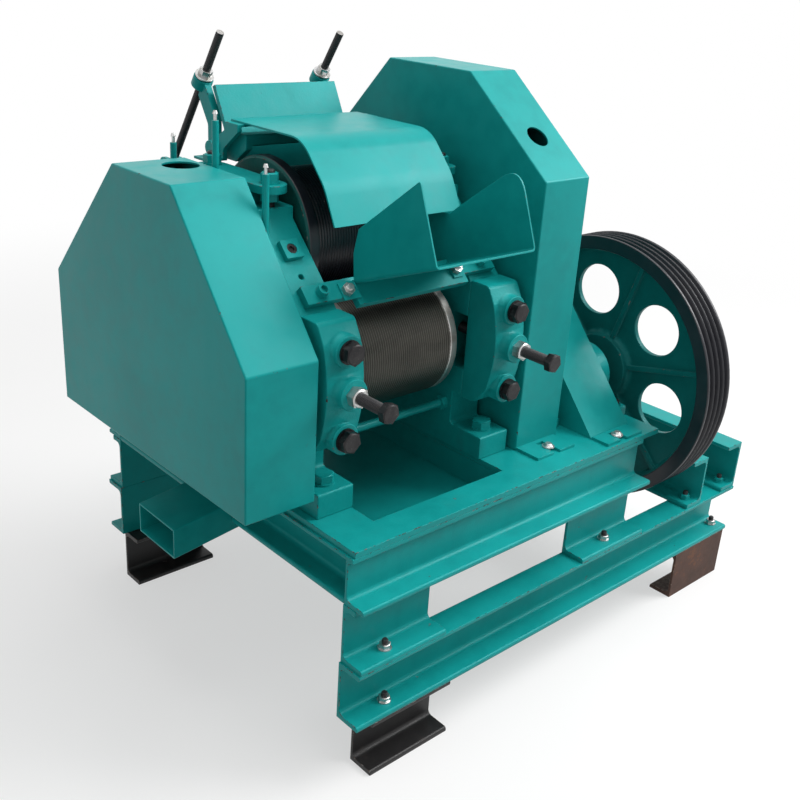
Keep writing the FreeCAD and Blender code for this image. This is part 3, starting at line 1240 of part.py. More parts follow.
def pillow_block():
    """Housing beside the pulley: long foot, round body and a bearing insert."""
    y, z = PULLEY_SHAFT
    half = PILLOW_FOOT_HALF
    foot = prism("x", [(y - half, 0), (y + half, 0), (y + half, 18, 5), (y + 60, 24, 12),
                       (y - 60, 24, 12), (y - half, 18, 5)], *PILLOW_X)
    proud = PILLOW_X[1] + INSERT_PROUD
    body = joined([foot, rod("x", PULLEY_SHAFT, PILLOW_BODY_R, *PILLOW_X),
                   ring("x", PULLEY_SHAFT, INSERT_R, COUNTER_R, PILLOW_X[0], proud)])
    cuts = [rod("x", PULLEY_SHAFT, COUNTER_R + RUN, PILLOW_X[0] - 1, proud + 1)]
    mid = sum(PILLOW_X) / 2
    for side in (-1, 1):
        spot = (mid, y + side * PILLOW_BOLT)
        cuts.append(rod("z", spot, PILLOW_BOLT_R + OPEN_HOLE, -1, 30))
        cuts.append(rod("z", spot, 15.0, PILLOW_SPOT_Z, 30))
    return without(body, cuts)


def stand_bolts():
    """Hexagon bolts of the pillow block and the pedestal, into the top plate."""
    y1 = PULLEY_SHAFT[0]
    y2 = COUNTER_SHAFT[0]
    pillow_mid = sum(PILLOW_X) / 2
    mid = sum(PEDESTAL_X) / 2
    pieces = [bolt(Vec(pillow_mid, y1 + side * PILLOW_BOLT, PILLOW_SPOT_Z), Vec(0, 0, 1),
                   PILLOW_BOLT_R, PILLOW_SPOT_Z + PLATE_THICK, 24.0, 10.0)
              for side in (-1, 1)]
    for y in (y1 - PEDESTAL_BOLTS[0], y2 + PEDESTAL_BOLTS[1]):
        pieces.append(bolt(Vec(mid, y, PEDESTAL_SPOT_Z), Vec(0, 0, 1), PLATE_BOLT_R,
                           PEDESTAL_SPOT_Z + PLATE_THICK, 17.0, 6.5))
    return pieces


# ---- tray and outlet ----------------------------------------------------------------
OPENING_X = (INNER_LEFT - 1.0, RIGHT_FRAME_X + 6.0)
OPENING_Y = (54.0, 640.0)
FLOOR_RIGHT_Z = -55.0


def floor_z(x):
    """Height of the sloping tray floor's upper face."""
    return FLOOR_RIGHT_Z - (OPENING_X[1] - x) * TRAY_SLOPE


def juice_tray():
    """Pan hung under the plate opening, its floor falling to the outlet."""
    x = (OPENING_X[0] - SHEET, OPENING_X[1] + SHEET)
    top = -PLATE_THICK
    outer = [(x[0], floor_z(x[0]) - SHEET), (x[1], floor_z(x[1]) - SHEET), (x[1], top),
             (x[0], top)]
    inner = [(OPENING_X[0], floor_z(OPENING_X[0])), (OPENING_X[1], FLOOR_RIGHT_Z),
             (OPENING_X[1], top + 1), (OPENING_X[0], top + 1)]
    body = prism("y", outer, OPENING_Y[0] - SHEET, OPENING_Y[1] + SHEET)
    body = body.cut(prism("y", inner, *OPENING_Y))
    return body.cut(tube_bore(x[0] - 1, x[0] + SHEET + 1))


def tube_profile(low, high, wall):
    """(x, z) outline of the outlet tube between two x, walls taken off."""
    lift = SHEET - wall
    height = OUTLET_TUBE_HEIGHT - 2 * wall
    bottom = [(x, floor_z(x) - lift) for x in (low, high)]
    return [bottom[0], bottom[1], (high, bottom[1][1] + height),
            (low, bottom[0][1] + height)]


def tube_bore(low, high):
    """Cutter for the inside of the outlet tube between two x."""
    return prism("y", tube_profile(low, high, SHEET), OUTLET_TUBE[0] + SHEET,
                 OUTLET_TUBE[1] - SHEET)


def juice_outlet_tube():
    """Rectangular tube that carries on the tray floor's slope past the skid."""
    end = OPENING_X[0] - SHEET
    body = prism("y", tube_profile(OUTLET_TUBE_END, end, 0.0), *OUTLET_TUBE)
    return body.cut(tube_bore(OUTLET_TUBE_END - 1, end + 1))


# ---- skid ---------------------------------------------------------------------------
BEAM_BACK = SMALL_CHANNEL[1] - BEAM_OVERHANG
SKID_BACK = LARGE_CHANNEL[1] - SKID_OVERHANG


def plate_mirror(y):
    """The same place at the other long edge of the top plate."""
    return 2 * PLATE_MID_Y - y


def top_plate():
    """Plate with the juice opening and a hole for each bolt that stands on it."""
    body = block((0, PLATE_LENGTH), (0, PLATE_DEPTH), (-PLATE_THICK, 0))
    cuts = [block(OPENING_X, OPENING_Y, (-PLATE_THICK - 1, 1))]
    holes = [(mid, y, HOLD_DOWN_R + FIT) for mid in FRAME_MIDS
             for y in (HOLD_DOWN_Y, mirror_y(HOLD_DOWN_Y))]
    holes += [(x, y, PLATE_BOLT_R + FIT) for x, y in cover_bolt_spots()]
    pillow_mid = sum(PILLOW_X) / 2
    holes += [(pillow_mid, PULLEY_SHAFT[0] + side * PILLOW_BOLT, PILLOW_BOLT_R + FIT)
              for side in (-1, 1)]
    pedestal_mid = sum(PEDESTAL_X) / 2
    holes += [(pedestal_mid, PULLEY_SHAFT[0] - PEDESTAL_BOLTS[0], PLATE_BOLT_R + FIT),
              (pedestal_mid, COUNTER_SHAFT[0] + PEDESTAL_BOLTS[1], PLATE_BOLT_R + FIT)]
    cuts += [rod("z", (x, y), r, -PLATE_THICK - 1, 1) for x, y, r in holes]
    return without(body, cuts)


def upper_beams():
    """Two channels under the plate's long edges."""
    return [channel("x", BEAM_START, BEAM_END, BEAM_BACK, -1, BEAM_Z, SMALL_CHANNEL),
            channel("x", BEAM_START, BEAM_END, plate_mirror(BEAM_BACK), 1, BEAM_Z,
                    SMALL_CHANNEL)]


def cross_beams():
    """Short channels that close the ends; the left one is notched for the tube."""
    ends = (BEAM_BACK, plate_mirror(BEAM_BACK))
    left = channel("y", *ends, BEAM_START, 1, BEAM_Z, SMALL_CHANNEL)
    right = channel("y", *ends, BEAM_END, -1, BEAM_Z, SMALL_CHANNEL)
    inside = BEAM_START + SMALL_CHANNEL[1]
    roof = floor_z(inside) - SHEET + OUTLET_TUBE_HEIGHT + 2
    notch = block((BEAM_START - 1, inside + 1), (OUTLET_TUBE[0] - 2, OUTLET_TUBE[1] + 2),
                  (BEAM_Z - 1, roof))
    return [left.cut(notch), right]


def spacer_channels():
    """Short lengths of channel between the upper beams and the lower channels."""
    rows, spacer_x, _ = skid_bolt_spots()
    pieces = []
    for (low, high), x in zip(SPACERS, spacer_x):
        for back, out, y in ((SKID_BACK, -1, rows[0]),
                             (plate_mirror(SKID_BACK), 1, rows[1])):
            piece = channel("x", low, high, back, out, SPACER_Z, LARGE_CHANNEL)
            hole = rod("z", (x, y), SKID_BOLT_R + OPEN_HOLE, SPACER_Z - 1, SPACER_Z + 20)
            pieces.append(piece.cut(hole))
    return pieces


def skid_bolt_spots():
    """Bolt lines: y of both rows, x over the spacers and x under the motor rails."""
    front = -SKID_OVERHANG + SKID_FLANGE_MID
    rows = (front, plate_mirror(front))
    spacer_x = (LEFT_SPACER_BOLT, sum(SPACERS[1]) / 2)
    rail_x = tuple(back - LARGE_CHANNEL[1] / 2 for back in RAIL_BACKS)
    return rows, spacer_x, rail_x


def foot_bolt_spots():
    """(x, y) of the three bolts that hold feet to the lower channels."""
    front, rear = skid_bolt_spots()[0]
    left, right = FOOT_BOLTS
    return (left, front), (right, front), (right, rear)


def lower_channels():
    """Two long channels, drilled above for spacers and rails and below for feet."""
    bars = [channel("x", SKID_START, SKID_END, SKID_BACK, -1, SKID_Z, LARGE_CHANNEL),
            channel("x", SKID_START, SKID_END, plate_mirror(SKID_BACK), 1, SKID_Z,
                    LARGE_CHANNEL)]
    rows, spacer_x, rail_x = skid_bolt_spots()
    drilled = []
    for bar, y in zip(bars, rows):
        holes = [rod("z", (x, y), SKID_BOLT_R + OPEN_HOLE, SPACER_Z - 20, SPACER_Z + 1)
                 for x in spacer_x + rail_x]
        holes += [rod("z", spot, SKID_BOLT_R + OPEN_HOLE, SKID_Z - 1, SKID_Z + 20)
                  for spot in foot_bolt_spots()]
        drilled.append(without(bar, holes))
    return drilled


def motor_rails():
    """Two channels across the skid that carry the motor."""
    ends = (-RAIL_FRONT_OVERHANG, PLATE_DEPTH + RAIL_REAR_OVERHANG)
    rows, _, rail_x = skid_bolt_spots()
    pieces = []
    for back, x in zip(RAIL_BACKS, rail_x):
        rail = channel("y", *ends, back, -1, SPACER_Z, LARGE_CHANNEL)
        holes = [rod("z", (x, y), SKID_BOLT_R + OPEN_HOLE, SPACER_Z - 1, SPACER_Z + 20)
                 for y in rows]
        pieces.append(without(rail, holes))
    return pieces


def skid_bolts():
    """Bolts of the spacers, the motor rails and the feet, each with its nut on top."""
    rows, spacer_x, rail_x = skid_bolt_spots()
    grip = 2 * LARGE_CHANNEL[3]
    spots = [(x, y, SPACER_Z) for x in spacer_x + rail_x for y in rows]
    spots += [(x, y, SKID_Z) for x, y in foot_bolt_spots()]
    return [bolt(Vec(x, y, z - grip / 2), Vec(0, 0, -1), SKID_BOLT_R,
                 grip + SKID_NUT + SKID_BOLT_PROUD, SKID_BOLT_FLATS, SKID_BOLT_HEAD,
                 nut_at=grip, nut=SKID_NUT)
            for x, y, z in spots]


def foot(span, back, out):
    """Short length of channel under a lower channel, drilled where a bolt meets it."""
    piece = channel("x", span[0], span[1], back, out, FLOOR_Z, LARGE_CHANNEL)
    return without(piece, [rod("z", spot, SKID_BOLT_R + OPEN_HOLE, SKID_Z - 20, SKID_Z + 1)
                           for spot in foot_bolt_spots()])


def left_feet():
    """The front foot is bolted and the rear one, set further in, is welded."""
    return [foot(LEFT_FEET[0], SKID_BACK, -1),
            foot(LEFT_FEET[1], PLATE_DEPTH - LEFT_REAR_FOOT_INSET, -1)]


def right_feet():
    """Two short channels under the lower channels' right ends."""
    return [foot(RIGHT_FOOT, -RIGHT_FOOT_OVERHANG, 1),
            foot(RIGHT_FOOT, PLATE_DEPTH + RIGHT_FOOT_OVERHANG, -1)]


# ---- grease pipes -------------------------------------------------------------------
PIPE_X = (LEFT_COVER[1] + LEFT_FRAME_X) / 2
PIPE_R = 5.0
PIPES = ((232.0, 250.0, 497.0), (357.0, 408.0, 550.0), (474.0, 250.0, 500.0))


def grease_pipes():
    """Pipes up the outside of the left frame, each with a ball nipple on top."""
    pieces = []
    for y, low, high in PIPES:
        tube = rod("z", (PIPE_X, y), PIPE_R, low, high - 14)
        elbow = rod("x", (y, low + PIPE_R), PIPE_R - 0.5, PIPE_X, LEFT_FRAME_X)
        nipple = rod("z", (PIPE_X, y), 2.5, high - 14, high - 5)
        tip = Part.makeCone(4.0, 2.5, 5.0, Vec(PIPE_X, y, high - 5))
        pieces.append(joined([tube, elbow, nipple, tip]))
    return pieces


# ---- the machine --------------------------------------------------------------------
def nodes():
    """Every sub-part by name, each a solid or a list of like solids."""
    top_gear, front_gear, rear_gear = roller_gears()
    parts = {
        "lower_channels": lower_channels(),
        "left_feet": left_feet(),
        "right_feet": right_feet(),
        "spacer_channels": spacer_channels(),
        "upper_beams": upper_beams() + cross_beams(),
        "motor_rails": motor_rails(),
        "skid_bolts": skid_bolts(),
        "top_plate": top_plate(),
        "juice_tray": juice_tray(),
        "juice_outlet_tube": juice_outlet_tube(),
        "left_side_frame": side_frame(LEFT_FRAME_X),
        "right_side_frame": side_frame(RIGHT_FRAME_X),
        "front_caps": [cap(x, False) for x in FRAMES_X],
        "rear_caps": [cap(x, True) for x in FRAMES_X],
        "cap_bolts": cap_bolts(),
        "lock_nuts": lock_nuts(),
        "top_bearing_blocks": [top_block(x) for x in FRAMES_X],
        "fixed_bushes": [bush(x, TOP_ROLLER) for x in FRAMES_X] + shaft_bushes(),
        "keeper_bars": [keeper_bar(x) for x in FRAMES_X],
        "keeper_studs": keeper_studs(),
        "plate_bolts": hold_down_bolts() + stand_bolts(),
        "tie_rods": tie_rods(),
        "turner_bar": turner_bar(),
        "front_cross_plate": front_cross_plate(),
        "rear_chute": rear_chute(),
        "cross_plate_fixings": cross_plate_screws() + pad_blocks(),
        "hopper": hopper(),
        "hood": hood(),
        "hood_brackets": hood_brackets(),
        "left_gear_cover": left_gear_cover(),
        "right_gear_cover": right_gear_cover(),
        "lower_gear_cover": lower_gear_cover(),
        "cover_bolts": cover_bolts(),
        "shaft_pedestal": shaft_pedestal(),
        "pillow_block": pillow_block(),
        "scraper_rods": scraper_rods(),
        "grease_pipes": grease_pipes(),
        "front_bearing_blocks": [lower_block(x, FRONT_ROLLER) for x in FRAMES_X],
        "front_bushes": [bush(x, FRONT_ROLLER) for x in FRAMES_X],
        "rear_bearing_blocks": [lower_block(x, REAR_ROLLER) for x in FRAMES_X],
        "rear_bushes": [bush(x, REAR_ROLLER) for x in FRAMES_X],
        "top_roller": top_roller(),
        "front_roller": lower_roller(FRONT_ROLLER),
        "rear_roller": lower_roller(REAR_ROLLER),
        "top_roller_gear": top_gear,
        "front_roller_gear": front_gear,
        "rear_roller_gear": rear_gear,
        "bull_gear": bull_gear(),
        "intermediate_shaft": intermediate_shaft(),
        "first_gear": first_gear(),
        "pulley_shaft": pulley_shaft(),
        "belt_pulley": belt_pulley(),
        "scraper_yoke": scraper_yoke(),
        "scraper_plate": scraper_plate(),
    }
    for side, mid in zip(("left", "right"), FRAME_MIDS):
        parts["front_" + side + "_screw"] = adjusting_screw(mid, False)
        parts["rear_" + side + "_screw"] = adjusting_screw(mid, True)
    for side, x in zip(("left", "right"), ROD_X):
        parts[side + "_rod_nut"] = rod_nut(x)
    return parts


def footprint_origin():
    """Middle of the machine's footprint, on the floor."""
    front = PULLEY_SHAFT[0] - PULLEY_R
    rear = PLATE_DEPTH + SKID_OVERHANG
    return Vec((LEFT_COVER[0] + SKID_END) / 2, (front + rear) / 2, FLOOR_Z)


def main():
    os.makedirs("parts", exist_ok=True)
    shift = footprint_origin() * -1
    for name, shape in nodes().items():
        if isinstance(shape, list):
            shape = Part.makeCompound(shape)
        shape.translate(shift)
        shape.exportStep("parts/" + name + ".step")


main()
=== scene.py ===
import json
import logging
import math
from dataclasses import dataclass
from enum import Enum
from typing import Callable, Optional, Sequence, Union

import bmesh
import bpy
from mathutils import Matrix, Vector

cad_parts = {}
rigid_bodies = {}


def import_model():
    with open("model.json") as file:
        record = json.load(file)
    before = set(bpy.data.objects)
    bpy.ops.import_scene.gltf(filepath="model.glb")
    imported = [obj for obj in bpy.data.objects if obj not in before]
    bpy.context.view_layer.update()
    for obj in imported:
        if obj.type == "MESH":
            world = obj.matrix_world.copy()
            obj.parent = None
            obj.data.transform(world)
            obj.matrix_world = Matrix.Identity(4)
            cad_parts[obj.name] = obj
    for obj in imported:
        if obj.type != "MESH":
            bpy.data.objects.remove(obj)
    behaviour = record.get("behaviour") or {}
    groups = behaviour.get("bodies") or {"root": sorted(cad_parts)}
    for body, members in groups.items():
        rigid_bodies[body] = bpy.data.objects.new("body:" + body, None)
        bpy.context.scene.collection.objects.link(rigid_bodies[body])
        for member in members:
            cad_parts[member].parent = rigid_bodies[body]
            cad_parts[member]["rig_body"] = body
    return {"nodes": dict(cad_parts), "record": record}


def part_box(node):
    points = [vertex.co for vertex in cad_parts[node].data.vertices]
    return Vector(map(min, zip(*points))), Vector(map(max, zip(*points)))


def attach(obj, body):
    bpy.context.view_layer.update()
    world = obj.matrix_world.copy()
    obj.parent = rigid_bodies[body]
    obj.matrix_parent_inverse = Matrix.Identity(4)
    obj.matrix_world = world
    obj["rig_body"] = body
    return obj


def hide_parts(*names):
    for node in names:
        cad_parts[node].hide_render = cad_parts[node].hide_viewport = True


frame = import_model()

LOG = logging.getLogger("cane_crusher")
MM = 0.001
WELD = 1e-5                   # vertices nearer than this are one
FLAT = math.radians(1.0)      # faces turned less than this lie in one plane
SHARP = math.radians(34.0)    # edges turned more than this get a rounding
CREASE = math.radians(50.0)   # edges of a piece turned more than this shade as creases
FINE_CREASE = math.radians(30.0)   # the same for fasteners, threads and beads
CHANGE = 0.05                 # share of its volume that rounding may take off a piece
HALF_ROOT = math.sqrt(0.5)    # sine of 45 degrees
SENSOR = 36.0                 # width of the camera's sensor in millimetres
Colour = tuple[float, float, float]
Spot = tuple[float, float]    # a place back and up, in millimetres
ACROSS = Vector((1.0, 0.0, 0.0))
UP = Vector((0.0, 0.0, 1.0))
DOWN = Vector((0.0, 0.0, -1.0))


# ---- node graphs ----------------------------------------------------------------------
class Value:
    """One socket of a node graph that takes part in arithmetic."""

    def __init__(self, graph: "Graph", socket: bpy.types.NodeSocket) -> None:
        """Wrap a socket of a graph."""
        self.graph = graph
        self.socket = socket

    def _math(self, operation: str, *terms: "Number") -> "Value":
        """Add a Math node.

        Args:
            operation: the node's operation.
            terms: its values or links, in order.

        Returns:
            The node's result.
        """
        return self.graph.node("ShaderNodeMath", {"operation": operation}, dict(enumerate(terms)))

    def __add__(self, other: "Number") -> "Value":
        """Sum."""
        return self._math("ADD", self, other)

    def __radd__(self, other: "Number") -> "Value":
        """Sum, reflected."""
        return self._math("ADD", other, self)

    def __sub__(self, other: "Number") -> "Value":
        """Difference."""
        return self._math("SUBTRACT", self, other)

    def __rsub__(self, other: "Number") -> "Value":
        """Difference, reflected."""
        return self._math("SUBTRACT", other, self)

    def __mul__(self, other: "Number") -> "Value":
        """Product."""
        return self._math("MULTIPLY", self, other)

    def __rmul__(self, other: "Number") -> "Value":
        """Product, reflected."""
        return self._math("MULTIPLY", other, self)

    def __truediv__(self, other: "Number") -> "Value":
        """Quotient."""
        return self._math("DIVIDE", self, other)

    def __rtruediv__(self, other: "Number") -> "Value":
        """Quotient, reflected."""
        return self._math("DIVIDE", other, self)

    def most(self, other: "Number") -> "Value":
        """The larger of two values."""
        return self._math("MAXIMUM", self, other)

    def size(self) -> "Value":
        """Absolute value."""
        return self._math("ABSOLUTE", self)

    def part(self) -> "Value":
        """Fractional part."""
        return self._math("FRACT", self)

    def cosine(self) -> "Value":
        """Cosine."""
        return self._math("COSINE", self)

    def turned(self, other: "Number") -> "Value":
        """Angle of the point (other, self)."""
        return self._math("ARCTAN2", self, other)

    def whole(self) -> "Value":
        """Next whole number up."""
        return self._math("CEIL", self)


Number = Union[Value, float, int]


class Graph:
    """A node tree under construction."""

    def __init__(self, tree: bpy.types.NodeTree) -> None:
        """Start on an empty tree."""
        self.tree = tree

    def node(self, kind: str, settings: Optional[dict] = None, inputs: Optional[dict] = None,
             output: Union[int, str] = 0) -> Value:
        """Add one node.

        Args:
            kind: the node's type.
            settings: its properties, set first; "stops" is a ramp's (place, colour) list.
            inputs: a value or link for each socket, by number, identifier or name.
            output: number or name of the output that is returned.

        Returns:
            The output asked for.
        """
        made = self.tree.nodes.new(kind)
        for key, value in (settings or {}).items():
            if key == "stops":
                self._stops(made.color_ramp, value)
            else:
                setattr(made, key, value)
        for key, value in (inputs or {}).items():
            socket = self._socket(made, key)
            for term in value if isinstance(value, list) else [value]:
                if isinstance(term, Value):
                    self.tree.links.new(term.socket, socket)
                else:
                    socket.default_value = term
        return Value(self, made.outputs[output])

    @staticmethod
    def _stops(ramp: bpy.types.ColorRamp, stops: Sequence[tuple[float, Colour]]) -> None:
        """Set a ramp's stops from (place, colour) pairs."""
        while len(ramp.elements) < len(stops):
            ramp.elements.new(1.0)
        for element, (place, colour) in zip(ramp.elements, stops):
            element.position = place
            element.color = (*colour, 1.0)

    @staticmethod
    def _socket(made: bpy.types.Node, key: Union[int, str]) -> bpy.types.NodeSocket:
        """Input of a node by number, identifier or name."""
        if isinstance(key, int):
            return made.inputs[key]
        for socket in made.inputs:
            if socket.identifier == key:
                return socket
        return made.inputs[key]


class Shade(Graph):
    """The node tree of one material."""

    def __init__(self, name: str) -> None:
        """Start a material with an empty tree."""
        self.material = bpy.data.materials.new(name)
        self.material.use_nodes = True
        super().__init__(self.material.node_tree)
        self.tree.nodes.clear()
        self.place = self.node("ShaderNodeTexCoord", output="Object")

    def noise(self, scale: float, detail: float = 3.0, roughness: float = 0.5,
              stretch: Optional[Colour] = None, shift: float = 0.0) -> Value:
        """Noise over the surface.

        Args:
            scale: cells to a metre.
            detail: number of finer layers.
            roughness: strength of the finer layers.
            stretch: scale along each axis, or None for the same along all.
            shift: moves the pattern, so that two of one scale differ.

        Returns:
            A value from 0 to 1, mostly near a half.
        """
        where = self.node("ShaderNodeVectorMath", {"operation": "MULTIPLY"},
                          {0: self.place, 1: stretch or (1.0, 1.0, 1.0)})
        where = self.node("ShaderNodeVectorMath", {"operation": "ADD"},
                          {0: where, 1: (shift, shift * 0.7, shift * 1.3)})
        return self.node("ShaderNodeTexNoise", None,
                         {"Vector": where, "Scale": scale, "Detail": detail,
                          "Roughness": roughness})

    def band(self, value: Value, low: float, high: float) -> Value:
        """Smooth step from 0 at low to 1 at high."""
        return self.node("ShaderNodeMapRange", {"interpolation_type": "SMOOTHSTEP"},
                         {"Value": value, "From Min": low, "From Max": high})

    def mix(self, factor: Value, first: Union[Value, Colour],
            second: Union[Value, Colour]) -> Value:
        """Blend of two colours."""
        ends = [end if isinstance(end, Value) else (*end, 1.0) for end in (first, second)]
        return self.node("ShaderNodeMix", {"data_type": "RGBA"},
                         {"Factor_Float": factor, "A_Color": ends[0], "B_Color": ends[1]}, 2)

    def edge(self) -> Value:
        """1 on the rounded edges of a piece, 0 elsewhere."""
        return self.node("ShaderNodeAttribute", {"attribute_name": "edge"}, output="Fac")

    def upward(self) -> Value:
        """How far the surface faces up, from -1 to 1, in the piece's own axes."""
        normal = self.node("ShaderNodeTexCoord", output="Normal")
        return self.node("ShaderNodeSeparateXYZ", None, {0: normal}, 2)

    def bump(self, height: Value, relief: float, under: Optional[Value] = None) -> Value:
        """Normal of a relief.

        Args:
            height: the relief, from 0 to 1.
            relief: its depth in metres.
            under: another bump's normal that this one lies on.

        Returns:
            The normal.
        """
        inputs = {"Height": height, "Strength": 1.0, "Distance": relief}
        if under:
            inputs["Normal"] = under
        return self.node("ShaderNodeBump", None, inputs)

    def close(self, **inputs: Union[Value, float, Colour]) -> bpy.types.Material:
        """Finish the tree with a Principled shader.

        Args:
            inputs: values or links by socket name, spaces written as underscores.

        Returns:
            The material.
        """
        named = {}
        for key, value in inputs.items():
            flat = isinstance(value, tuple) and len(value) == 3
            named[key.replace("_", " ")] = (*value, 1.0) if flat else value
        surface = self.node("ShaderNodeBsdfPrincipled", None, named)
        self.node_output(surface)
        return self.material

    def node_output(self, surface: Value) -> None:
        """Link a shader to the material's output."""
        output = self.tree.nodes.new("ShaderNodeOutputMaterial")
        self.tree.links.new(surface.socket, output.inputs["Surface"])


# ---- finishes -------------------------------------------------------------------------
class Grain(Enum):
    """Ground under a paint: cells to a metre and depth of its relief in metres."""

    SHEET = (150.0, 0.00004)
    ROLLED = (260.0, 0.00016)
    CAST = (210.0, 0.00034)


@dataclass(frozen=True)
class Finish:
    """Something that a surface is finished with."""

    name: str

    def material(self) -> bpy.types.Material:
        """The finish's material, made the first time it is asked for."""
        found = bpy.data.materials.get("finish_" + self.name)
        return found or self.paint(Shade("finish_" + self.name))

    def paint(self, shade: Shade) -> bpy.types.Material:
        """Build the material's nodes."""
        raise NotImplementedError


@dataclass(frozen=True)
class Enamel(Finish):
    """Brushed and sprayed enamel over primer, chipped at its edges."""

    colour: Colour
    grain: Grain
    roughness: float = 0.36
    chips: float = 0.5
    grime: float = 0.25
    under: Colour = (0.055, 0.040, 0.034)
    soil: Colour = (0.030, 0.034, 0.030)
    gloss: float = 0.24
    tint: Colour = (0.45, 0.95, 1.0)

    def paint(self, shade: Shade) -> bpy.types.Material:
        """Build the material's nodes."""
        cells, relief = self.grain.value
        cloud = shade.noise(4.0, 4.0, 0.55)
        mottle = shade.noise(34.0, 4.0, 0.6, shift=3.0)
        darker = tuple(c * 0.88 for c in self.colour)
        lighter = tuple(min(1.0, c * 1.07 + 0.002) for c in self.colour)
        colour = shade.mix(shade.band(cloud * 0.65 + mottle * 0.35, 0.36, 0.64), darker,
                           lighter)
        runs = shade.noise(22.0, 3.0, 0.5, (1.0, 1.0, 0.12), shift=9.0)
        soiled = shade.band(runs * 0.5 + mottle * 0.5, 0.52, 0.72) * self.grime
        colour = shade.mix(soiled, colour, self.soil)
        flake = shade.noise(95.0, 5.0, 0.62, shift=5.0)
        chipped = shade.band(flake, 0.66 - 0.22 * self.chips, 0.70 - 0.22 * self.chips)
        spots = shade.band(shade.noise(60.0, 3.0, 0.5, shift=14.0), 0.752, 0.765)
        bare = (chipped * shade.edge()).most(spots * self.chips)
        metal = shade.band(shade.noise(160.0, 2.0, shift=2.0), 0.45, 0.60)
        worn = shade.mix(metal, self.under, (0.20, 0.19, 0.18))
        colour = shade.mix(bare, colour, worn)
        orange_peel = shade.noise(cells, 2.5, 0.55, shift=7.0)
        wave = shade.noise(9.0, 2.0, 0.4, shift=11.0)
        ground = shade.bump(orange_peel - bare * 1.5, relief)
        normal = shade.bump(wave, relief * 4.0, ground)
        rough = (mottle - 0.5) * 0.30 + (self.roughness + bare * 0.25 + soiled * 0.2)
        return shade.close(Base_Color=colour, Roughness=rough.most(0.18), Normal=normal,
                           Specular_IOR_Level=self.gloss, Specular_Tint=self.tint)


@dataclass(frozen=True)
class Primer(Finish):
    """Matt brown primer over mill scale, dusty where it faces up."""

    colour: Colour = (0.082, 0.037, 0.024)
    rust: Colour = (0.155, 0.062, 0.028)
    dust: Colour = (0.21, 0.165, 0.13)

    def paint(self, shade: Shade) -> bpy.types.Material:
        """Build the material's nodes."""
        cloud = shade.noise(16.0, 5.0, 0.6)
        fine = shade.noise(120.0, 4.0, 0.6, shift=4.0)
        dark = tuple(c * 0.62 for c in self.colour)
        colour = shade.mix(shade.band(cloud, 0.35, 0.66), dark, self.colour)
        patch = shade.band(cloud * 0.6 + fine * 0.4, 0.56, 0.62)
        colour = shade.mix(patch * 0.7, colour, self.rust)
        dusty = shade.band(shade.upward(), 0.3, 0.9) * shade.band(fine, 0.4, 0.7) * 0.45
        colour = shade.mix(dusty, colour, self.dust)
        scratched = shade.edge() * shade.band(fine, 0.48, 0.60)
        colour = shade.mix(scratched, colour, (0.26, 0.20, 0.16))
        normal = shade.bump(fine + cloud * 0.5, 0.0003)
        return shade.close(Base_Color=colour, Roughness=0.62 + fine * 0.22, Normal=normal)


@dataclass(frozen=True)
class Oxide(Finish):
    """Black oxide on steel, rubbed bright in scattered spots."""

    colour: Colour = (0.007, 0.006, 0.008)
    roughness: float = 0.36

    def paint(self, shade: Shade) -> bpy.types.Material:
        """Build the material's nodes."""
        cloud = shade.noise(70.0, 4.0, 0.6)
        fine = shade.noise(420.0, 3.0, 0.6, shift=6.0)
        colour = shade.mix(shade.band(cloud, 0.35, 0.7), self.colour, (0.030, 0.028, 0.029))
        rubbed = shade.band(fine, 0.62, 0.70) * 0.4
        colour = shade.mix(rubbed, colour, (0.17, 0.165, 0.16))
        normal = shade.bump(fine, 0.00006)
        return shade.close(Base_Color=colour, Metallic=rubbed * 0.5,
                           Specular_IOR_Level=0.28,
                           Roughness=self.roughness + (cloud - 0.5) * 0.3, Normal=normal)


@dataclass(frozen=True)
class Plating(Finish):
    """Bright zinc plating with a thin clouding."""

    colour: Colour = (0.58, 0.585, 0.59)
    roughness: float = 0.30

    def paint(self, shade: Shade) -> bpy.types.Material:
        """Build the material's nodes."""
        cloud = shade.noise(90.0, 4.0, 0.6)
        fine = shade.noise(500.0, 2.0, 0.5, shift=8.0)
        colour = shade.mix(shade.band(cloud, 0.35, 0.7), self.colour, (0.40, 0.395, 0.37))
        stain = shade.band(shade.noise(140.0, 3.0, 0.6, shift=3.0), 0.60, 0.70)
        colour = shade.mix(stain * 0.5, colour, (0.13, 0.11, 0.09))
        return shade.close(Base_Color=colour, Metallic=0.95 - stain * 0.4,
                           Roughness=self.roughness + cloud * 0.12 + stain * 0.2,
                           Normal=shade.bump(fine, 0.00004))


@dataclass(frozen=True)
class Turned(Finish):
    """Steel or iron turned on a lathe: fine rings about the X axis."""

    colour: Colour = (0.36, 0.35, 0.335)
    stain: Colour = (0.10, 0.085, 0.07)
    roughness: float = 0.32
    rings: float = 900.0
    crest: float = 1.5

    def paint(self, shade: Shade) -> bpy.types.Material:
        """Build the material's nodes."""
        rings = shade.noise(self.rings, 3.0, 0.7, (1.0, 0.0, 0.0))
        cloud = shade.noise(28.0, 4.0, 0.6, (0.5, 1.0, 1.0))
        colour = shade.mix(shade.band(rings, 0.3, 0.7),
                           tuple(c * 0.8 for c in self.colour), self.colour)
        stained = shade.band(cloud, 0.46, 0.66)
        colour = shade.mix(stained * 0.65, colour, self.stain)
        bright = shade.edge() * shade.edge() * 0.7
        colour = shade.mix(bright, colour,
                           tuple(min(1.0, c * self.crest) for c in self.colour))
        return shade.close(Base_Color=colour, Metallic=0.92 - stained * 0.25,
                           Roughness=self.roughness + rings * 0.12 + stained * 0.12,
                           Normal=shade.bump(rings, 0.00008))


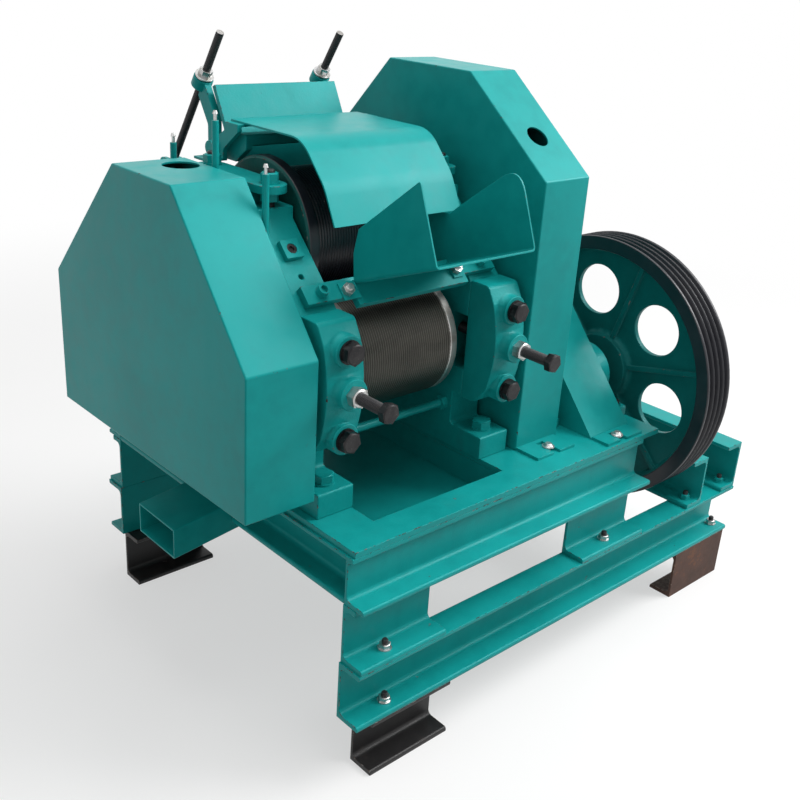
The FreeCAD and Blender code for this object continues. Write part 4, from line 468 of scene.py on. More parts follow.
@dataclass(frozen=True)
class Greased(Finish):
    """Machined gear iron under a film of dark grease."""

    colour: Colour = (0.13, 0.128, 0.125)
    grease: Colour = (0.020, 0.014, 0.008)

    def paint(self, shade: Shade) -> bpy.types.Material:
        """Build the material's nodes."""
        cloud = shade.noise(40.0, 4.0, 0.6)
        film = shade.band(cloud, 0.42, 0.62)
        colour = shade.mix(film, self.colour, self.grease)
        ridges = shade.noise(260.0, 3.0, 0.6, shift=2.0)
        return shade.close(Base_Color=colour, Metallic=0.85 - film * 0.75,
                           Roughness=0.42 - film * 0.2,
                           Normal=shade.bump(ridges + film, 0.00018))


@dataclass(frozen=True)
class Bronze(Finish):
    """Plain bearing bronze, dulled by oil."""

    colour: Colour = (0.50, 0.33, 0.14)

    def paint(self, shade: Shade) -> bpy.types.Material:
        """Build the material's nodes."""
        cloud = shade.noise(60.0, 4.0, 0.6)
        oily = shade.band(cloud, 0.45, 0.65)
        colour = shade.mix(oily, self.colour, (0.20, 0.12, 0.05))
        rings = shade.noise(1100.0, 2.0, 0.6, (1.0, 0.0, 0.0))
        return shade.close(Base_Color=colour, Metallic=0.9 - oily * 0.2,
                           Roughness=0.34 + oily * 0.12, Normal=shade.bump(rings, 0.00005))


TEAL = (0.006, 0.335, 0.326)
SHEET_TEAL = Enamel("teal_sheet", TEAL, Grain.SHEET, 0.36, 0.12, 0.05)
CAST_TEAL = Enamel("teal_cast", TEAL, Grain.CAST, 0.38, 0.18, 0.22)
ROLLED_TEAL = Enamel("teal_rolled", TEAL, Grain.ROLLED, 0.38, 0.55, 0.14)
BOLT_TEAL = Enamel("teal_bolts", TEAL, Grain.CAST, 0.34, 0.1, 0.30)
WEB_TEAL = Enamel("teal_pulley", (0.005, 0.150, 0.145), Grain.CAST, 0.40, 0.25, 0.35)
FLANGE_GREEN = Enamel("dark_green", (0.006, 0.085, 0.075), Grain.CAST, 0.36, 0.5, 0.4)
RIM_BLACK = Enamel("rim_black", (0.011, 0.012, 0.018), Grain.SHEET, 0.36, 0.0, 0.06,
                   (0.05, 0.048, 0.046), (0.03, 0.029, 0.028), 0.5, (1.0, 1.0, 1.0))
FOOT_BLACK = Enamel("foot_black", (0.013, 0.0125, 0.013), Grain.ROLLED, 0.46, 0.7, 0.35,
                    (0.10, 0.05, 0.03), (0.075, 0.06, 0.05), 0.4, (1.0, 1.0, 1.0))
BROWN = Primer("brown_primer")
BOLT_BLACK = Oxide("black_oxide")
THREAD_BLACK = Oxide("black_thread", (0.022, 0.022, 0.025), 0.42)
ZINC = Plating("zinc")
LAND_STEEL = Turned("turned_land", (0.42, 0.41, 0.395), (0.16, 0.14, 0.12))
SHAFT_STEEL = Turned("turned_shaft", (0.25, 0.24, 0.23))
ROLLER_IRON = Turned("grooved_iron", (0.050, 0.049, 0.043), (0.020, 0.018, 0.015), 0.38, 300.0,
                     3.2)
BLADE_STEEL = Turned("blade_steel", (0.30, 0.29, 0.275), (0.12, 0.10, 0.08), 0.36, 300.0)
GEAR_IRON = Greased("gear_iron")
BEARING_BRONZE = Bronze("bearing_bronze")


# ---- geometry-node trees ----------------------------------------------------------------
class Tree(Graph):
    """A geometry-node tree with named inputs."""

    def __init__(self, name: str, **inputs: float) -> None:
        """Start a tree.

        Args:
            name: the tree's name.
            inputs: a starting value for each named length.
        """
        group = bpy.data.node_groups.new(name, "GeometryNodeTree")
        super().__init__(group)
        face = group.interface
        face.new_socket("Geometry", in_out="INPUT", socket_type="NodeSocketGeometry")
        self.keys = {}
        for key, value in inputs.items():
            socket = face.new_socket(key, in_out="INPUT", socket_type="NodeSocketFloat")
            socket.default_value = value
            self.keys[key] = socket.identifier
        for key, kind in (("direction", "NodeSocketVector"), ("finish", "NodeSocketMaterial")):
            socket = face.new_socket(key, in_out="INPUT", socket_type=kind)
            self.keys[key] = socket.identifier
        face.new_socket("Geometry", in_out="OUTPUT", socket_type="NodeSocketGeometry")
        self.group = group
        self.start = group.nodes.new("NodeGroupInput")

    def value(self, key: str) -> Value:
        """The group input of that name."""
        return Value(self, self.start.outputs[key])

    def moved(self, shape: Value, z: Number) -> Value:
        """A mesh lifted along Z."""
        lift = self.node("ShaderNodeCombineXYZ", None, {2: z})
        return self.node("GeometryNodeTransform", None, {"Geometry": shape, "Translation": lift})

    def cylinder(self, radius: Number, depth: Number, base: Number, around: int,
                 along: Number = 1) -> Value:
        """Closed cylinder that stands on a base height.

        Args:
            radius: its radius.
            depth: its height.
            base: height of its lower end.
            around: number of sides.
            along: number of steps in its height.

        Returns:
            The mesh.
        """
        made = self.node("GeometryNodeMeshCylinder", {"fill_type": "NGON"},
                         {"Vertices": around, "Side Segments": along, "Radius": radius,
                          "Depth": depth}, "Mesh")
        return self.moved(made, base + depth * 0.5)

    def scaled_about_z(self, shape: Value, factor: Value) -> Value:
        """A mesh whose points are drawn in towards the Z axis by a factor."""
        place = self.node("GeometryNodeInputPosition")
        x, y, z = (self.node("ShaderNodeSeparateXYZ", None, {0: place}, axis)
                   for axis in range(3))
        spot = self.node("ShaderNodeCombineXYZ", None, {0: x * factor, 1: y * factor, 2: z})
        return self.node("GeometryNodeSetPosition", None, {"Geometry": shape, "Position": spot})

    def axis_value(self, axis: int) -> Value:
        """One coordinate of the point."""
        place = self.node("GeometryNodeInputPosition")
        return self.node("ShaderNodeSeparateXYZ", None, {0: place}, axis)

    def on_points(self, shape: Value, seed: int) -> Value:
        """Put a mesh on every point, its Z axis along the direction, spun at random."""
        turn = self.node("FunctionNodeRandomValue", {"data_type": "FLOAT"},
                         {"Min_001": 0.0, "Max_001": math.pi / 3, "Seed": seed}, 1)
        spin = self.node("FunctionNodeAxisAngleToRotation", None,
                         {"Axis": (0.0, 0.0, 1.0), "Angle": turn})
        aim = self.node("FunctionNodeAlignRotationToVector", {"axis": "Z"},
                        {"Rotation": spin, "Vector": self.value("direction")})
        return self.node("GeometryNodeInstanceOnPoints", None,
                         {"Points": self.value("Geometry"), "Instance": shape,
                          "Rotation": aim})

    def join(self, *shapes: Value) -> Value:
        """Several meshes as one."""
        return self.node("GeometryNodeJoinGeometry", None, {0: list(shapes)})

    def close(self, shape: Value) -> "Tree":
        """End the tree in Realize Instances and Set Material."""
        real = self.node("GeometryNodeRealizeInstances", None, {0: shape})
        dressed = self.node("GeometryNodeSetMaterial", None,
                            {"Geometry": real, "Material": self.value("finish")})
        end = self.group.nodes.new("NodeGroupOutput")
        self.tree.links.new(dressed.socket, end.inputs[0])
        return self


def hexagon_tree(name: str, washer: bool) -> Tree:
    """Hexagon heads or nuts, chamfered, each standing on a point.

    Args:
        name: the tree's name.
        washer: whether each stands on a round washer.

    Returns:
        The tree.
    """
    tree = Tree(name, flats=0.017, height=0.01, washer_radius=0.01, washer_height=0.0)
    flats, height = tree.value("flats"), tree.value("height")
    lift = tree.value("washer_height")
    chamfer = height * 0.10
    shapes = [tree.cylinder(flats / math.sqrt(3.0), height - chamfer, lift, 6)]
    crown = tree.node("GeometryNodeMeshCone", {"fill_type": "NGON"},
                      {"Vertices": 24, "Radius Bottom": flats * 0.515,
                       "Radius Top": flats * 0.45, "Depth": chamfer}, "Mesh")
    shapes.append(tree.moved(crown, lift + height - chamfer))
    if washer:
        shapes.append(tree.cylinder(tree.value("washer_radius"), lift, 0.0, 28))
    return tree.close(tree.on_points(tree.join(*shapes), 7))


def thread_tree() -> Tree:
    """Threaded bars with a chamfered end, each rising from a point."""
    tree = Tree("threaded_bar", radius=0.006, length=0.02, pitch=0.0025, depth=0.0006)
    radius, length = tree.value("radius"), tree.value("length")
    pitch, depth = tree.value("pitch"), tree.value("depth")
    bar = tree.cylinder(radius, length, 0.0, 18, (length / pitch * 4.0).whole())
    z = tree.axis_value(2)
    angle = tree.axis_value(1).turned(tree.axis_value(0))
    wave = (z / pitch * (2.0 * math.pi) + angle).cosine() * 0.5 + 0.5
    tip = (z - (length - radius * 0.25)).most(0.0) * 0.8
    factor = 1.0 - (wave * depth).most(tip) / radius
    return tree.close(tree.on_points(tree.scaled_about_z(bar, factor), 3))


def groove_tree() -> Tree:
    """Sleeve with sharp rings turned round it, each sleeve centred on a point."""
    tree = Tree("grooved_sleeve", radius=0.1, width=0.2, rings=40.0, depth=0.0015)
    radius, width = tree.value("radius"), tree.value("width")
    rings = tree.value("rings")
    sleeve = tree.cylinder(radius, width, width * -0.5, 96, rings * 4.0)
    place = tree.axis_value(2) / width * rings
    wave = (place.part() - 0.5).size() * 2.0
    factor = 1.0 - wave * tree.value("depth") / radius
    marked = tree.node("GeometryNodeStoreNamedAttribute",
                       {"data_type": "FLOAT", "domain": "POINT"},
                       {"Geometry": sleeve, "Name": "edge", "Value": 1.0 - wave})
    return tree.close(tree.on_points(tree.scaled_about_z(marked, factor), 5))


def bead_tree() -> Tree:
    """Weld bead: round drops of slightly differing size laid one over the other along the edges
    of a mesh.
    """
    tree = Tree("weld_bead", radius=0.003, step=0.003)
    line = tree.node("GeometryNodeMeshToCurve", None, {"Mesh": tree.value("Geometry")})
    line = tree.node("GeometryNodeResampleCurve", {"mode": "LENGTH"},
                     {"Curve": line, "Length": tree.value("step")})
    drop = tree.node("GeometryNodeMeshIcoSphere", None,
                     {"Radius": tree.value("radius"), "Subdivisions": 2}, "Mesh")
    swell = tree.node("FunctionNodeRandomValue", {"data_type": "FLOAT"},
                      {"Min_001": 0.86, "Max_001": 1.12, "Seed": 11}, 1)
    drops = tree.node("GeometryNodeInstanceOnPoints", None,
                      {"Points": line, "Instance": drop, "Scale": swell})
    return tree.close(drops)


# ---- workshop -----------------------------------------------------------------------------
@dataclass(frozen=True)
class Hexagon:
    """Sizes of a hexagon head or nut and of the washer under it, in metres."""

    flats: float
    height: float
    washer_radius: float = 0.0
    washer: float = 0.0

    def reach(self) -> float:
        """Height of the hexagon on its washer."""
        return self.height + self.washer


@dataclass(frozen=True)
class Thread:
    """Sizes of a threaded bar, in metres."""

    radius: float
    pitch: float
    depth: float


@dataclass
class Patch:
    """One face of a piece, with the box of the solid that it belongs to."""

    points: list[Vector]
    normal: Vector
    low: Vector
    high: Vector

    def middle(self) -> Vector:
        """Mean of the face's corners."""
        return sum(self.points, Vector()) / len(self.points)

    def radius(self, axis: Vector) -> float:
        """Mean distance of the corners from an axis along X through a point."""
        return sum(math.hypot(p.y - axis.y, p.z - axis.z) for p in self.points) \
            / len(self.points)

    def nearest(self, axis: Vector) -> float:
        """Least distance of the corners from an axis along X through a point."""
        return min(math.hypot(p.y - axis.y, p.z - axis.z) for p in self.points)

    def width(self) -> float:
        """Width along X of the face's solid."""
        return self.high.x - self.low.x


Chooser = Callable[[Patch], int]
Shaper = Callable[[Vector, Vector, Vector], Vector]   # point, low and high of its solid


@dataclass
class Island:
    """One separate solid of a CAD node: its vertices, box and middle."""

    points: list[Vector]

    def low(self) -> Vector:
        """Lowest corner."""
        return Vector(tuple(min(p[i] for p in self.points) for i in range(3)))

    def high(self) -> Vector:
        """Highest corner."""
        return Vector(tuple(max(p[i] for p in self.points) for i in range(3)))

    def middle(self) -> Vector:
        """Middle of the box."""
        return (self.low() + self.high()) / 2

    def end(self, direction: Vector, back: float = 0.0) -> Vector:
        """Point on the axis through the middle, at the solid's end along a direction.

        Args:
            direction: unit direction of the axis.
            back: distance back from the end, in metres.

        Returns:
            The point.
        """
        centre = self.middle()
        reach = max((p - centre).dot(direction) for p in self.points)
        return centre + direction * (reach - back)


def placed(name: str, data: bpy.types.ID) -> bpy.types.Object:
    """New object of the scene that holds a mesh, a light or a camera."""
    made = bpy.data.objects.new(name, data)
    bpy.context.scene.collection.objects.link(made)
    return made


def plain(holder: bpy.types.Object) -> bpy.types.Mesh:
    """Plain mesh of an object as its modifiers leave it; the object itself goes."""
    graph = bpy.context.evaluated_depsgraph_get()
    mesh = bpy.data.meshes.new_from_object(holder.evaluated_get(graph),
                                           preserve_all_data_layers=True, depsgraph=graph)
    holder.modifiers.clear()
    bpy.data.objects.remove(holder)
    return mesh


def middle_of(node: str) -> Vector:
    """Middle of a CAD node's box."""
    low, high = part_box(node)
    return (low + high) / 2


def weld(node: str) -> bmesh.types.BMesh:
    """Copy of a CAD node's mesh with its loose triangles joined."""
    work = bmesh.new()
    work.from_mesh(frame["nodes"][node].data)
    bmesh.ops.remove_doubles(work, verts=work.verts, dist=WELD)
    return work


def parted(work: bmesh.types.BMesh) -> list[list[bmesh.types.BMVert]]:
    """Vertices of each separate solid of a mesh."""
    seen = set()
    solids = []
    for first in work.verts:
        if first in seen:
            continue
        seen.add(first)
        solid = [first]
        for vertex in solid:   # the list grows as neighbours are found
            for edge in vertex.link_edges:
                other = edge.other_vert(vertex)
                if other not in seen:
                    seen.add(other)
                    solid.append(other)
        solids.append(solid)
    return solids


def islands(node: str) -> list[Island]:
    """The separate solids of a CAD node, in order along X, Y and Z."""
    work = weld(node)
    found = [Island([vertex.co.copy() for vertex in solid]) for solid in parted(work)]
    work.free()
    return sorted(found, key=lambda solid: tuple(round(v, 4) for v in solid.middle()))


class Workshop:
    """Makes the pieces and fastens each to a body of the frame."""

    def __init__(self) -> None:
        """Read the datum from the top plate and build the shared trees."""
        low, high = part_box("top_plate")
        self.datum = Vector((low.x, low.y, high.z))
        self.hexagons = hexagon_tree("hexagon_head", False)
        self.washered = hexagon_tree("hexagon_on_washer", True)
        self.threads = thread_tree()
        self.grooves = groove_tree()
        self.beads = bead_tree()
        self.slots = {row.get("slot") for row in frame["record"].get("materials", [])}
        self.done: set[str] = set()

    def point(self, x: float, y: float, z: float) -> Vector:
        """Place of a point given in millimetres from the plate's front left top corner."""
        return self.datum + Vector((x, y, z)) * MM

    @staticmethod
    def body(node: str) -> str:
        """Name of the body that a CAD node rides on."""
        return frame["nodes"][node]["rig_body"]

    def slot_of(self, node: str) -> Optional[str]:
        """The record's material slot of a CAD node, where its mesh names one."""
        for material in frame["nodes"][node].data.materials:
            name = material.name.split(".")[0] if material else ""
            if name in self.slots:
                return name
        return None

    def fasten(self, mesh: bpy.types.Mesh, name: str, like: str, *nodes: str) -> bpy.types.Object:
        """Make an object of a mesh and let it ride where a CAD node rides.

        Args:
            mesh: its mesh, in the frame's own place.
            name: the object's name.
            like: the CAD node whose body it takes.
            nodes: the CAD nodes that it stands for.

        Returns:
            The object.
        """
        piece = placed(name, mesh)
        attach(piece, self.body(like))
        slot = self.slot_of(like)
        if nodes:
            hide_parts(*nodes)
            self.done.update(nodes)
        LOG.info("%s rides %s, %d faces", name, self.body(like), len(mesh.polygons))
        return piece

    @staticmethod
    def _round(work: bmesh.types.BMesh, edges: list[bmesh.types.BMEdge], width: float,
               segments: int) -> None:
        """Round some edges and mark the new faces as worn edges."""
        if not edges:
            return
        made = bmesh.ops.bevel(work, geom=edges, offset=width, offset_type="OFFSET",
                               segments=segments, profile=0.5, affect="EDGES",
                               clamp_overlap=False)
        mark = work.faces.layers.float["edge"]
        for face in made["faces"]:
            face[mark] = 1.0

    @staticmethod
    def _sharp(work: bmesh.types.BMesh, area: float = 0.0) -> list[bmesh.types.BMEdge]:
        """Outward edges sharper than SHARP between faces larger than an area."""
        return [edge for edge in work.edges
                if edge.is_manifold and edge.is_convex and edge.calc_face_angle() > SHARP
                and min(face.calc_area() for face in edge.link_faces) > area]

    def refined(self, node: str, finishes: Sequence[Finish], width: float, fold: float = 0.0,
                choose: Optional[Chooser] = None,
                shape: Optional[Shaper] = None) -> bpy.types.Object:
        """Copy of a CAD node with rounded edges and finished faces, in its place.

        Args:
            node: the CAD node.
            finishes: finishes of its faces.
            width: rounding of its edges, in metres.
            fold: rounding of the folds between its large faces, in metres.
            choose: gives the number of a face's finish.
            shape: moves the points first, for a form that differs from the CAD node.

        Returns:
            The object.
        """
        work = weld(node)
        bmesh.ops.dissolve_limit(work, angle_limit=FLAT, verts=work.verts, edges=work.edges)
        if shape:
            for solid in parted(work):
                island = Island([vertex.co.copy() for vertex in solid])
                low, high = island.low(), island.high()
                for vertex in solid:
                    vertex.co = shape(vertex.co, low, high)
            bmesh.ops.recalc_face_normals(work, faces=work.faces)
        return self.finished(work, node, finishes, width, fold, choose)

    def finished(self, work: bmesh.types.BMesh, node: str, finishes: Sequence[Finish],
                 width: float, fold: float = 0.0,
                 choose: Optional[Chooser] = None) -> bpy.types.Object:
        """Round the edges of a mesh, finish its faces and put it in a CAD node's place.

        Args:
            work: the mesh, which is used up.
            node: the CAD node.
            finishes: finishes of its faces.
            width: rounding of its edges, in metres.
            fold: rounding of the folds between its large faces, in metres.
            choose: gives the number of a face's finish.

        Returns:
            The object.
        """
        work.faces.layers.float.new("edge")
        unrounded = work.copy()
        volume = work.calc_volume()
        if fold:
            self._round(work, self._sharp(work, (fold * 12) ** 2), fold, 4)
        if width:
            self._round(work, self._sharp(work), width, 2)
        if abs(work.calc_volume() - volume) > CHANGE * abs(volume):
            LOG.warning("%s keeps its plain edges", node)
            work, unrounded = unrounded, work
        unrounded.free()
        if choose:
            self._dress(work, choose)
        mesh = bpy.data.meshes.new(node + "_dressed")
        work.to_mesh(mesh)
        work.free()
        for finish in finishes:
            mesh.materials.append(finish.material())
        mesh.polygons.foreach_set("use_smooth", [True] * len(mesh.polygons))
        mesh.set_sharp_from_angle(angle=CREASE)
        return self.fasten(self._weighted(mesh), node + "_dressed", node, node)

    @staticmethod
    def _dress(work: bmesh.types.BMesh, choose: Chooser) -> None:
        """Give each face the finish that a chooser names for it."""
        for solid in parted(work):
            island = Island([vertex.co.copy() for vertex in solid])
            low, high = island.low(), island.high()
            for face in {face for vertex in solid for face in vertex.link_faces}:
                face.material_index = choose(Patch([v.co for v in face.verts], face.normal,
                                                   low, high))

    @staticmethod
    def _weighted(mesh: bpy.types.Mesh) -> bpy.types.Mesh:
        """The mesh with normals weighted by face size, so that flats shade flat."""
        holder = placed("weighted", mesh)
        holder.modifiers.new("weighted", "WEIGHTED_NORMAL").keep_sharp = True
        return plain(holder)

    def grown(self, tree: Tree, points: Sequence[Vector], direction: Vector, finish: Finish,
              edges: Sequence[tuple[int, int]] = (), **sizes: float) -> bpy.types.Mesh:
        """Run a geometry-node tree on some points.

        Args:
            tree: the tree.
            points: where its pieces stand.
            direction: which way they point.
            finish: their finish.
            edges: edges between the points, for a tree that follows them.
            sizes: values of the tree's named inputs, in metres.

        Returns:
            A plain mesh.
        """
        seed = bpy.data.meshes.new(tree.group.name)
        seed.from_pydata([tuple(p) for p in points], list(edges), [])
        holder = placed(tree.group.name, seed)
        modifier = holder.modifiers.new("grow", "NODES")
        modifier.node_group = tree.group
        for key, value in sizes.items():
            modifier[tree.keys[key]] = value
        modifier[tree.keys["direction"]] = tuple(direction)
        modifier[tree.keys["finish"]] = finish.material()
        mesh = plain(holder)
        mesh.polygons.foreach_set("use_smooth", [True] * len(mesh.polygons))
        mesh.set_sharp_from_angle(angle=FINE_CREASE)
        return mesh

    def hexes(self, size: Hexagon, seats: Sequence[Vector], direction: Vector,
              finish: Finish) -> bpy.types.Mesh:
        """Hexagon heads or nuts that stand on their seats and point one way."""
        tree = self.washered if size.washer else self.hexagons
        return self.grown(tree, seats, direction, finish, flats=size.flats,
                          height=size.height, washer_radius=size.washer_radius,
                          washer_height=size.washer)

    def bars(self, size: Thread, starts: Sequence[Vector], direction: Vector,
             length: float) -> bpy.types.Mesh:
        """Black threaded bars of one length that rise from their starts."""
        return self.grown(self.threads, starts, direction, THREAD_BLACK, radius=size.radius,
                          length=length, pitch=size.pitch, depth=size.depth)

    @staticmethod
    def joined(meshes: Sequence[bpy.types.Mesh], name: str) -> bpy.types.Mesh:
        """Several plain meshes as one, keeping their finishes."""
        holders = [placed(name, mesh) for mesh in meshes]
        with bpy.context.temp_override(active_object=holders[0], object=holders[0],
                                       selected_objects=holders,
                                       selected_editable_objects=holders):
            bpy.ops.object.join()
        result = holders[0].data
        result.name = name
        bpy.data.objects.remove(holders[0])
        return result

    def assembled(self, meshes: Sequence[bpy.types.Mesh], name: str, like: str,
                  *nodes: str) -> bpy.types.Object:
        """Join meshes into one object that rides with a CAD node."""
        return self.fasten(self.joined(meshes, name), name, like, *nodes)

    def bead(self, name: str, like: str, lines: Sequence[tuple[Vector, Vector]],
             radius: float, finish: Finish) -> bpy.types.Object:
        """Weld beads along straight lines, riding with a CAD node."""
        points = [end for line in lines for end in line]
        edges = [(2 * i, 2 * i + 1) for i in range(len(lines))]
        mesh = self.grown(self.beads, points, UP, finish, edges, radius=radius,
                          step=radius * 1.1)
        return self.fasten(mesh, name, like)

    def painted(self, finish: Finish, *nodes: str) -> None:
        """Give CAD nodes whose shape stays a finish of their own."""
        for node in nodes:
            piece = frame["nodes"][node]
            piece.data.materials.clear()
            piece.data.materials.append(finish.material())
            self.done.add(node)
            LOG.info("%s keeps its own shape", node)


# ---- sub-assemblies -------------------------------------------------------------------------
@dataclass
class Skid:
    """Channels, feet and motor rails that the machine stands on."""

    shop: Workshop
    round_width: float = 0.9 * MM
    bead_radius: float = 2.6 * MM
    bead_inset: float = 4.0 * MM
    bead_out: float = 1.0 * MM
    spacer_reach: float = 12.0 * MM    # of the spacers' flanges beyond the plate
    cross_width: float = 43.0 * MM
    beam_back: float = 15.0 * MM
    slack: float = 0.1 * MM

    def build(self) -> None:
        """Make every piece of the skid."""
        self._beams()
        self.shop.refined("spacer_channels", [ROLLED_TEAL], self.round_width,
                          shape=self._trimmed("spacer_channels", self.spacer_reach))
        for node, finish in (("lower_channels", ROLLED_TEAL), ("motor_rails", ROLLED_TEAL),
                             ("left_feet", FOOT_BLACK), ("right_feet", BROWN)):
            self.shop.refined(node, [finish], self.round_width)
        self._welds()

    @staticmethod
    def _trimmed(node: str, reach: float) -> Shaper:
        """Top flanges cut back to the plate's edge.

        Args:
            node: the channels' CAD node.
            reach: how far the flanges still stand out beyond the plate, in metres.

        Returns:
            The shaper of the channels' points.
        """
        plate_low, plate_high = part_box("top_plate")
        half_way = middle_of(node).z

        def shape(point: Vector, _low: Vector, _high: Vector) -> Vector:
            """New place of a point."""
            x, y, z = point
            if z > half_way:
                y = min(max(y, plate_low.y - reach), plate_high.y + reach)
            return Vector((x, y, z))

        return shape

    def _beams(self) -> None:
        """Upper beams, the left cross beam turned so that it opens outwards."""
        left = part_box("upper_beams")[0].x
        edge = left + self.cross_width + self.slack
        plate_low, plate_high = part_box("top_plate")
        back = self.beam_back - self.slack / 10
        work = weld("upper_beams")
        cross = [face for face in work.faces
                 if all(v.co.x < edge for v in face.verts)
                 and plate_low.y + back < face.calc_center_median().y < plate_high.y - back]
        loose = bmesh.ops.split(work, geom=cross)
        for vertex in {v for v in loose["geom"] if isinstance(v, bmesh.types.BMVert)}:
            vertex.co.x = 2 * left + self.cross_width - vertex.co.x
        trim = self._trimmed("upper_beams", 0.0)
        for vertex in work.verts:
            vertex.co = trim(vertex.co, vertex.co, vertex.co)
        bmesh.ops.recalc_face_normals(work, faces=work.faces)
        bmesh.ops.dissolve_limit(work, angle_limit=FLAT, verts=work.verts, edges=work.edges)
        self.shop.finished(work, "upper_beams", [ROLLED_TEAL], self.round_width)

    def _welds(self) -> None:
        """Beads between the spacers and the beams that stand on them."""
        beam_low, beam_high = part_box("upper_beams")
        plate_low, plate_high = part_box("top_plate")
        reach = self.spacer_reach + self.bead_out
        lines = []
        for solid in islands("spacer_channels"):
            low, high = solid.low(), solid.high()
            y = plate_low.y - reach if high.y < 0 else plate_high.y + reach
            left = max(low.x, beam_low.x) + self.bead_inset
            right = min(high.x, beam_high.x) - self.bead_inset
            lines.append((Vector((left, y, high.z)), Vector((right, y, high.z))))
        self.shop.bead("spacer_welds", "upper_beams", lines, self.bead_radius, ROLLED_TEAL)


@dataclass
class Deck:
    """Top plate, juice tray and outlet tube."""

    shop: Workshop
    plate_width: float = 0.9 * MM
    sheet_width: float = 0.5 * MM
    tube_fold: float = 2.2 * MM

    def build(self) -> None:
        """Make the deck's pieces."""
        self.shop.refined("top_plate", [ROLLED_TEAL], self.plate_width)
        self.shop.refined("juice_tray", [SHEET_TEAL], self.sheet_width)
        self.shop.refined("juice_outlet_tube", [SHEET_TEAL], self.sheet_width, self.tube_fold)


@dataclass
class Housings:
    """Side frames, caps, bearing blocks and the bars over them."""

    shop: Workshop
    cast_width: float = 1.8 * MM
    plate_width: float = 0.8 * MM
    rod_width: float = 0.4 * MM
    bar_half: float = 25.0 * MM        # half the width of a keeper bar
    end_steps: int = 14

    def build(self) -> None:
        """Make the housings' pieces."""
        for node in ("left_side_frame", "right_side_frame", "front_caps", "rear_caps"):
            self.shop.refined(node, [CAST_TEAL], self.cast_width)
        for node in ("top_bearing_blocks", "front_bearing_blocks", "rear_bearing_blocks"):
            self.shop.refined(node, [CAST_TEAL], self.plate_width)
        self._keepers()
        self.shop.refined("tie_rods", [BOLT_TEAL], self.rod_width)
        self.shop.refined("turner_bar", [SHAFT_STEEL], self.plate_width)
        self.shop.painted(BEARING_BRONZE, "fixed_bushes", "front_bushes", "rear_bushes")

    def _keepers(self) -> None:
        """Bars with round ends over the top bearings, from stud to stud."""
        low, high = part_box("keeper_bars")
        centre = middle_of("keeper_bars").x
        studs = [stud.middle() for stud in islands("keeper_studs")]
        work = bmesh.new()
        for side in (-1, 1):
            pair = sorted((p for p in studs if (p.x - centre) * side > 0), key=lambda p: p.y)
            outline = []
            for spot, start in ((pair[-1], 0.0), (pair[0], math.pi)):
                for step in range(self.end_steps + 1):
                    angle = start + math.pi * step / self.end_steps
                    outline.append(Vector((spot.x + self.bar_half * math.cos(angle),
                                           spot.y + self.bar_half * math.sin(angle), low.z)))
            base = work.faces.new([work.verts.new(p) for p in outline])
            grown = bmesh.ops.extrude_face_region(work, geom=[base])
            top = [v for v in grown["geom"] if isinstance(v, bmesh.types.BMVert)]
            bmesh.ops.translate(work, verts=top, vec=UP * (high.z - low.z))
        bmesh.ops.recalc_face_normals(work, faces=work.faces)
        self.shop.finished(work, "keeper_bars", [ROLLED_TEAL], self.plate_width)


@dataclass
class Rollers:
    """Three rollers, the lower two grooved between bright lands."""

    shop: Workshop
    barrel_radius: float = 98.5 * MM
    top_lift: float = 0.9 * MM         # of the top roller's sleeve over its barrel
    journal_reach: float = 38.0 * MM   # no point of the shaft's faces is further out
    groove_depth: float = 1.5 * MM
    rings: int = 42
    land: float = 15.0 * MM
    frame_gap: float = 26.5 * MM       # between a side frame and the barrels
    top_width: float = 1.2 * MM
    lower_width: float = 0.6 * MM

    def build(self) -> None:
        """Make the rollers and their grooved sleeves."""
        axis = middle_of("top_roller")

        def choice(face: Patch) -> int:
            """Green on the flanges' sides, black on the barrel, steel on the shaft."""
            if face.nearest(axis) < self.journal_reach:
                return 2
            return 0 if abs(face.normal.x) > 0.6 else 1

        self.shop.refined("top_roller", [FLANGE_GREEN, RIM_BLACK, SHAFT_STEEL],
                          self.top_width, choose=choice)
        for node in ("front_roller", "rear_roller"):
            self._lower(node)
        self._sleeve("top_roller", 0.0, self.barrel_radius + self.top_lift, RIM_BLACK)

    def _lower(self, node: str) -> None:
        """A lower roller: bright lands, dark journals and a grooved sleeve."""
        axis = middle_of(node)
        land_from = self.barrel_radius - self.top_lift

        def choice(face: Patch) -> int:
            """Bright lands, dark barrel."""
            return 0 if face.radius(axis) > land_from else 1

        self.shop.refined(node, [LAND_STEEL, SHAFT_STEEL], self.lower_width, choose=choice)
        self._sleeve(node, self.land + self.groove_depth, self.barrel_radius, ROLLER_IRON)

    def _sleeve(self, node: str, inset: float, radius: float, finish: Finish) -> None:
        """Grooved sleeve on a roller's barrel.

        Args:
            node: the roller's CAD node.
            inset: how far the sleeve stays back from the barrel's ends, in metres.
            radius: radius of its crests, in metres.
            finish: its finish.
        """
        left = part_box("left_side_frame")[1].x + self.frame_gap + inset
        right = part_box("right_side_frame")[0].x - self.frame_gap - inset
        axis = middle_of(node)
        mesh = self.shop.grown(self.shop.grooves, [Vector(((left + right) / 2, axis.y, axis.z))],
                               ACROSS, finish, radius=radius, width=right - left,
                               rings=float(self.rings), depth=self.groove_depth * 0.9)
        self.shop.fasten(mesh, node + "_grooves", node)


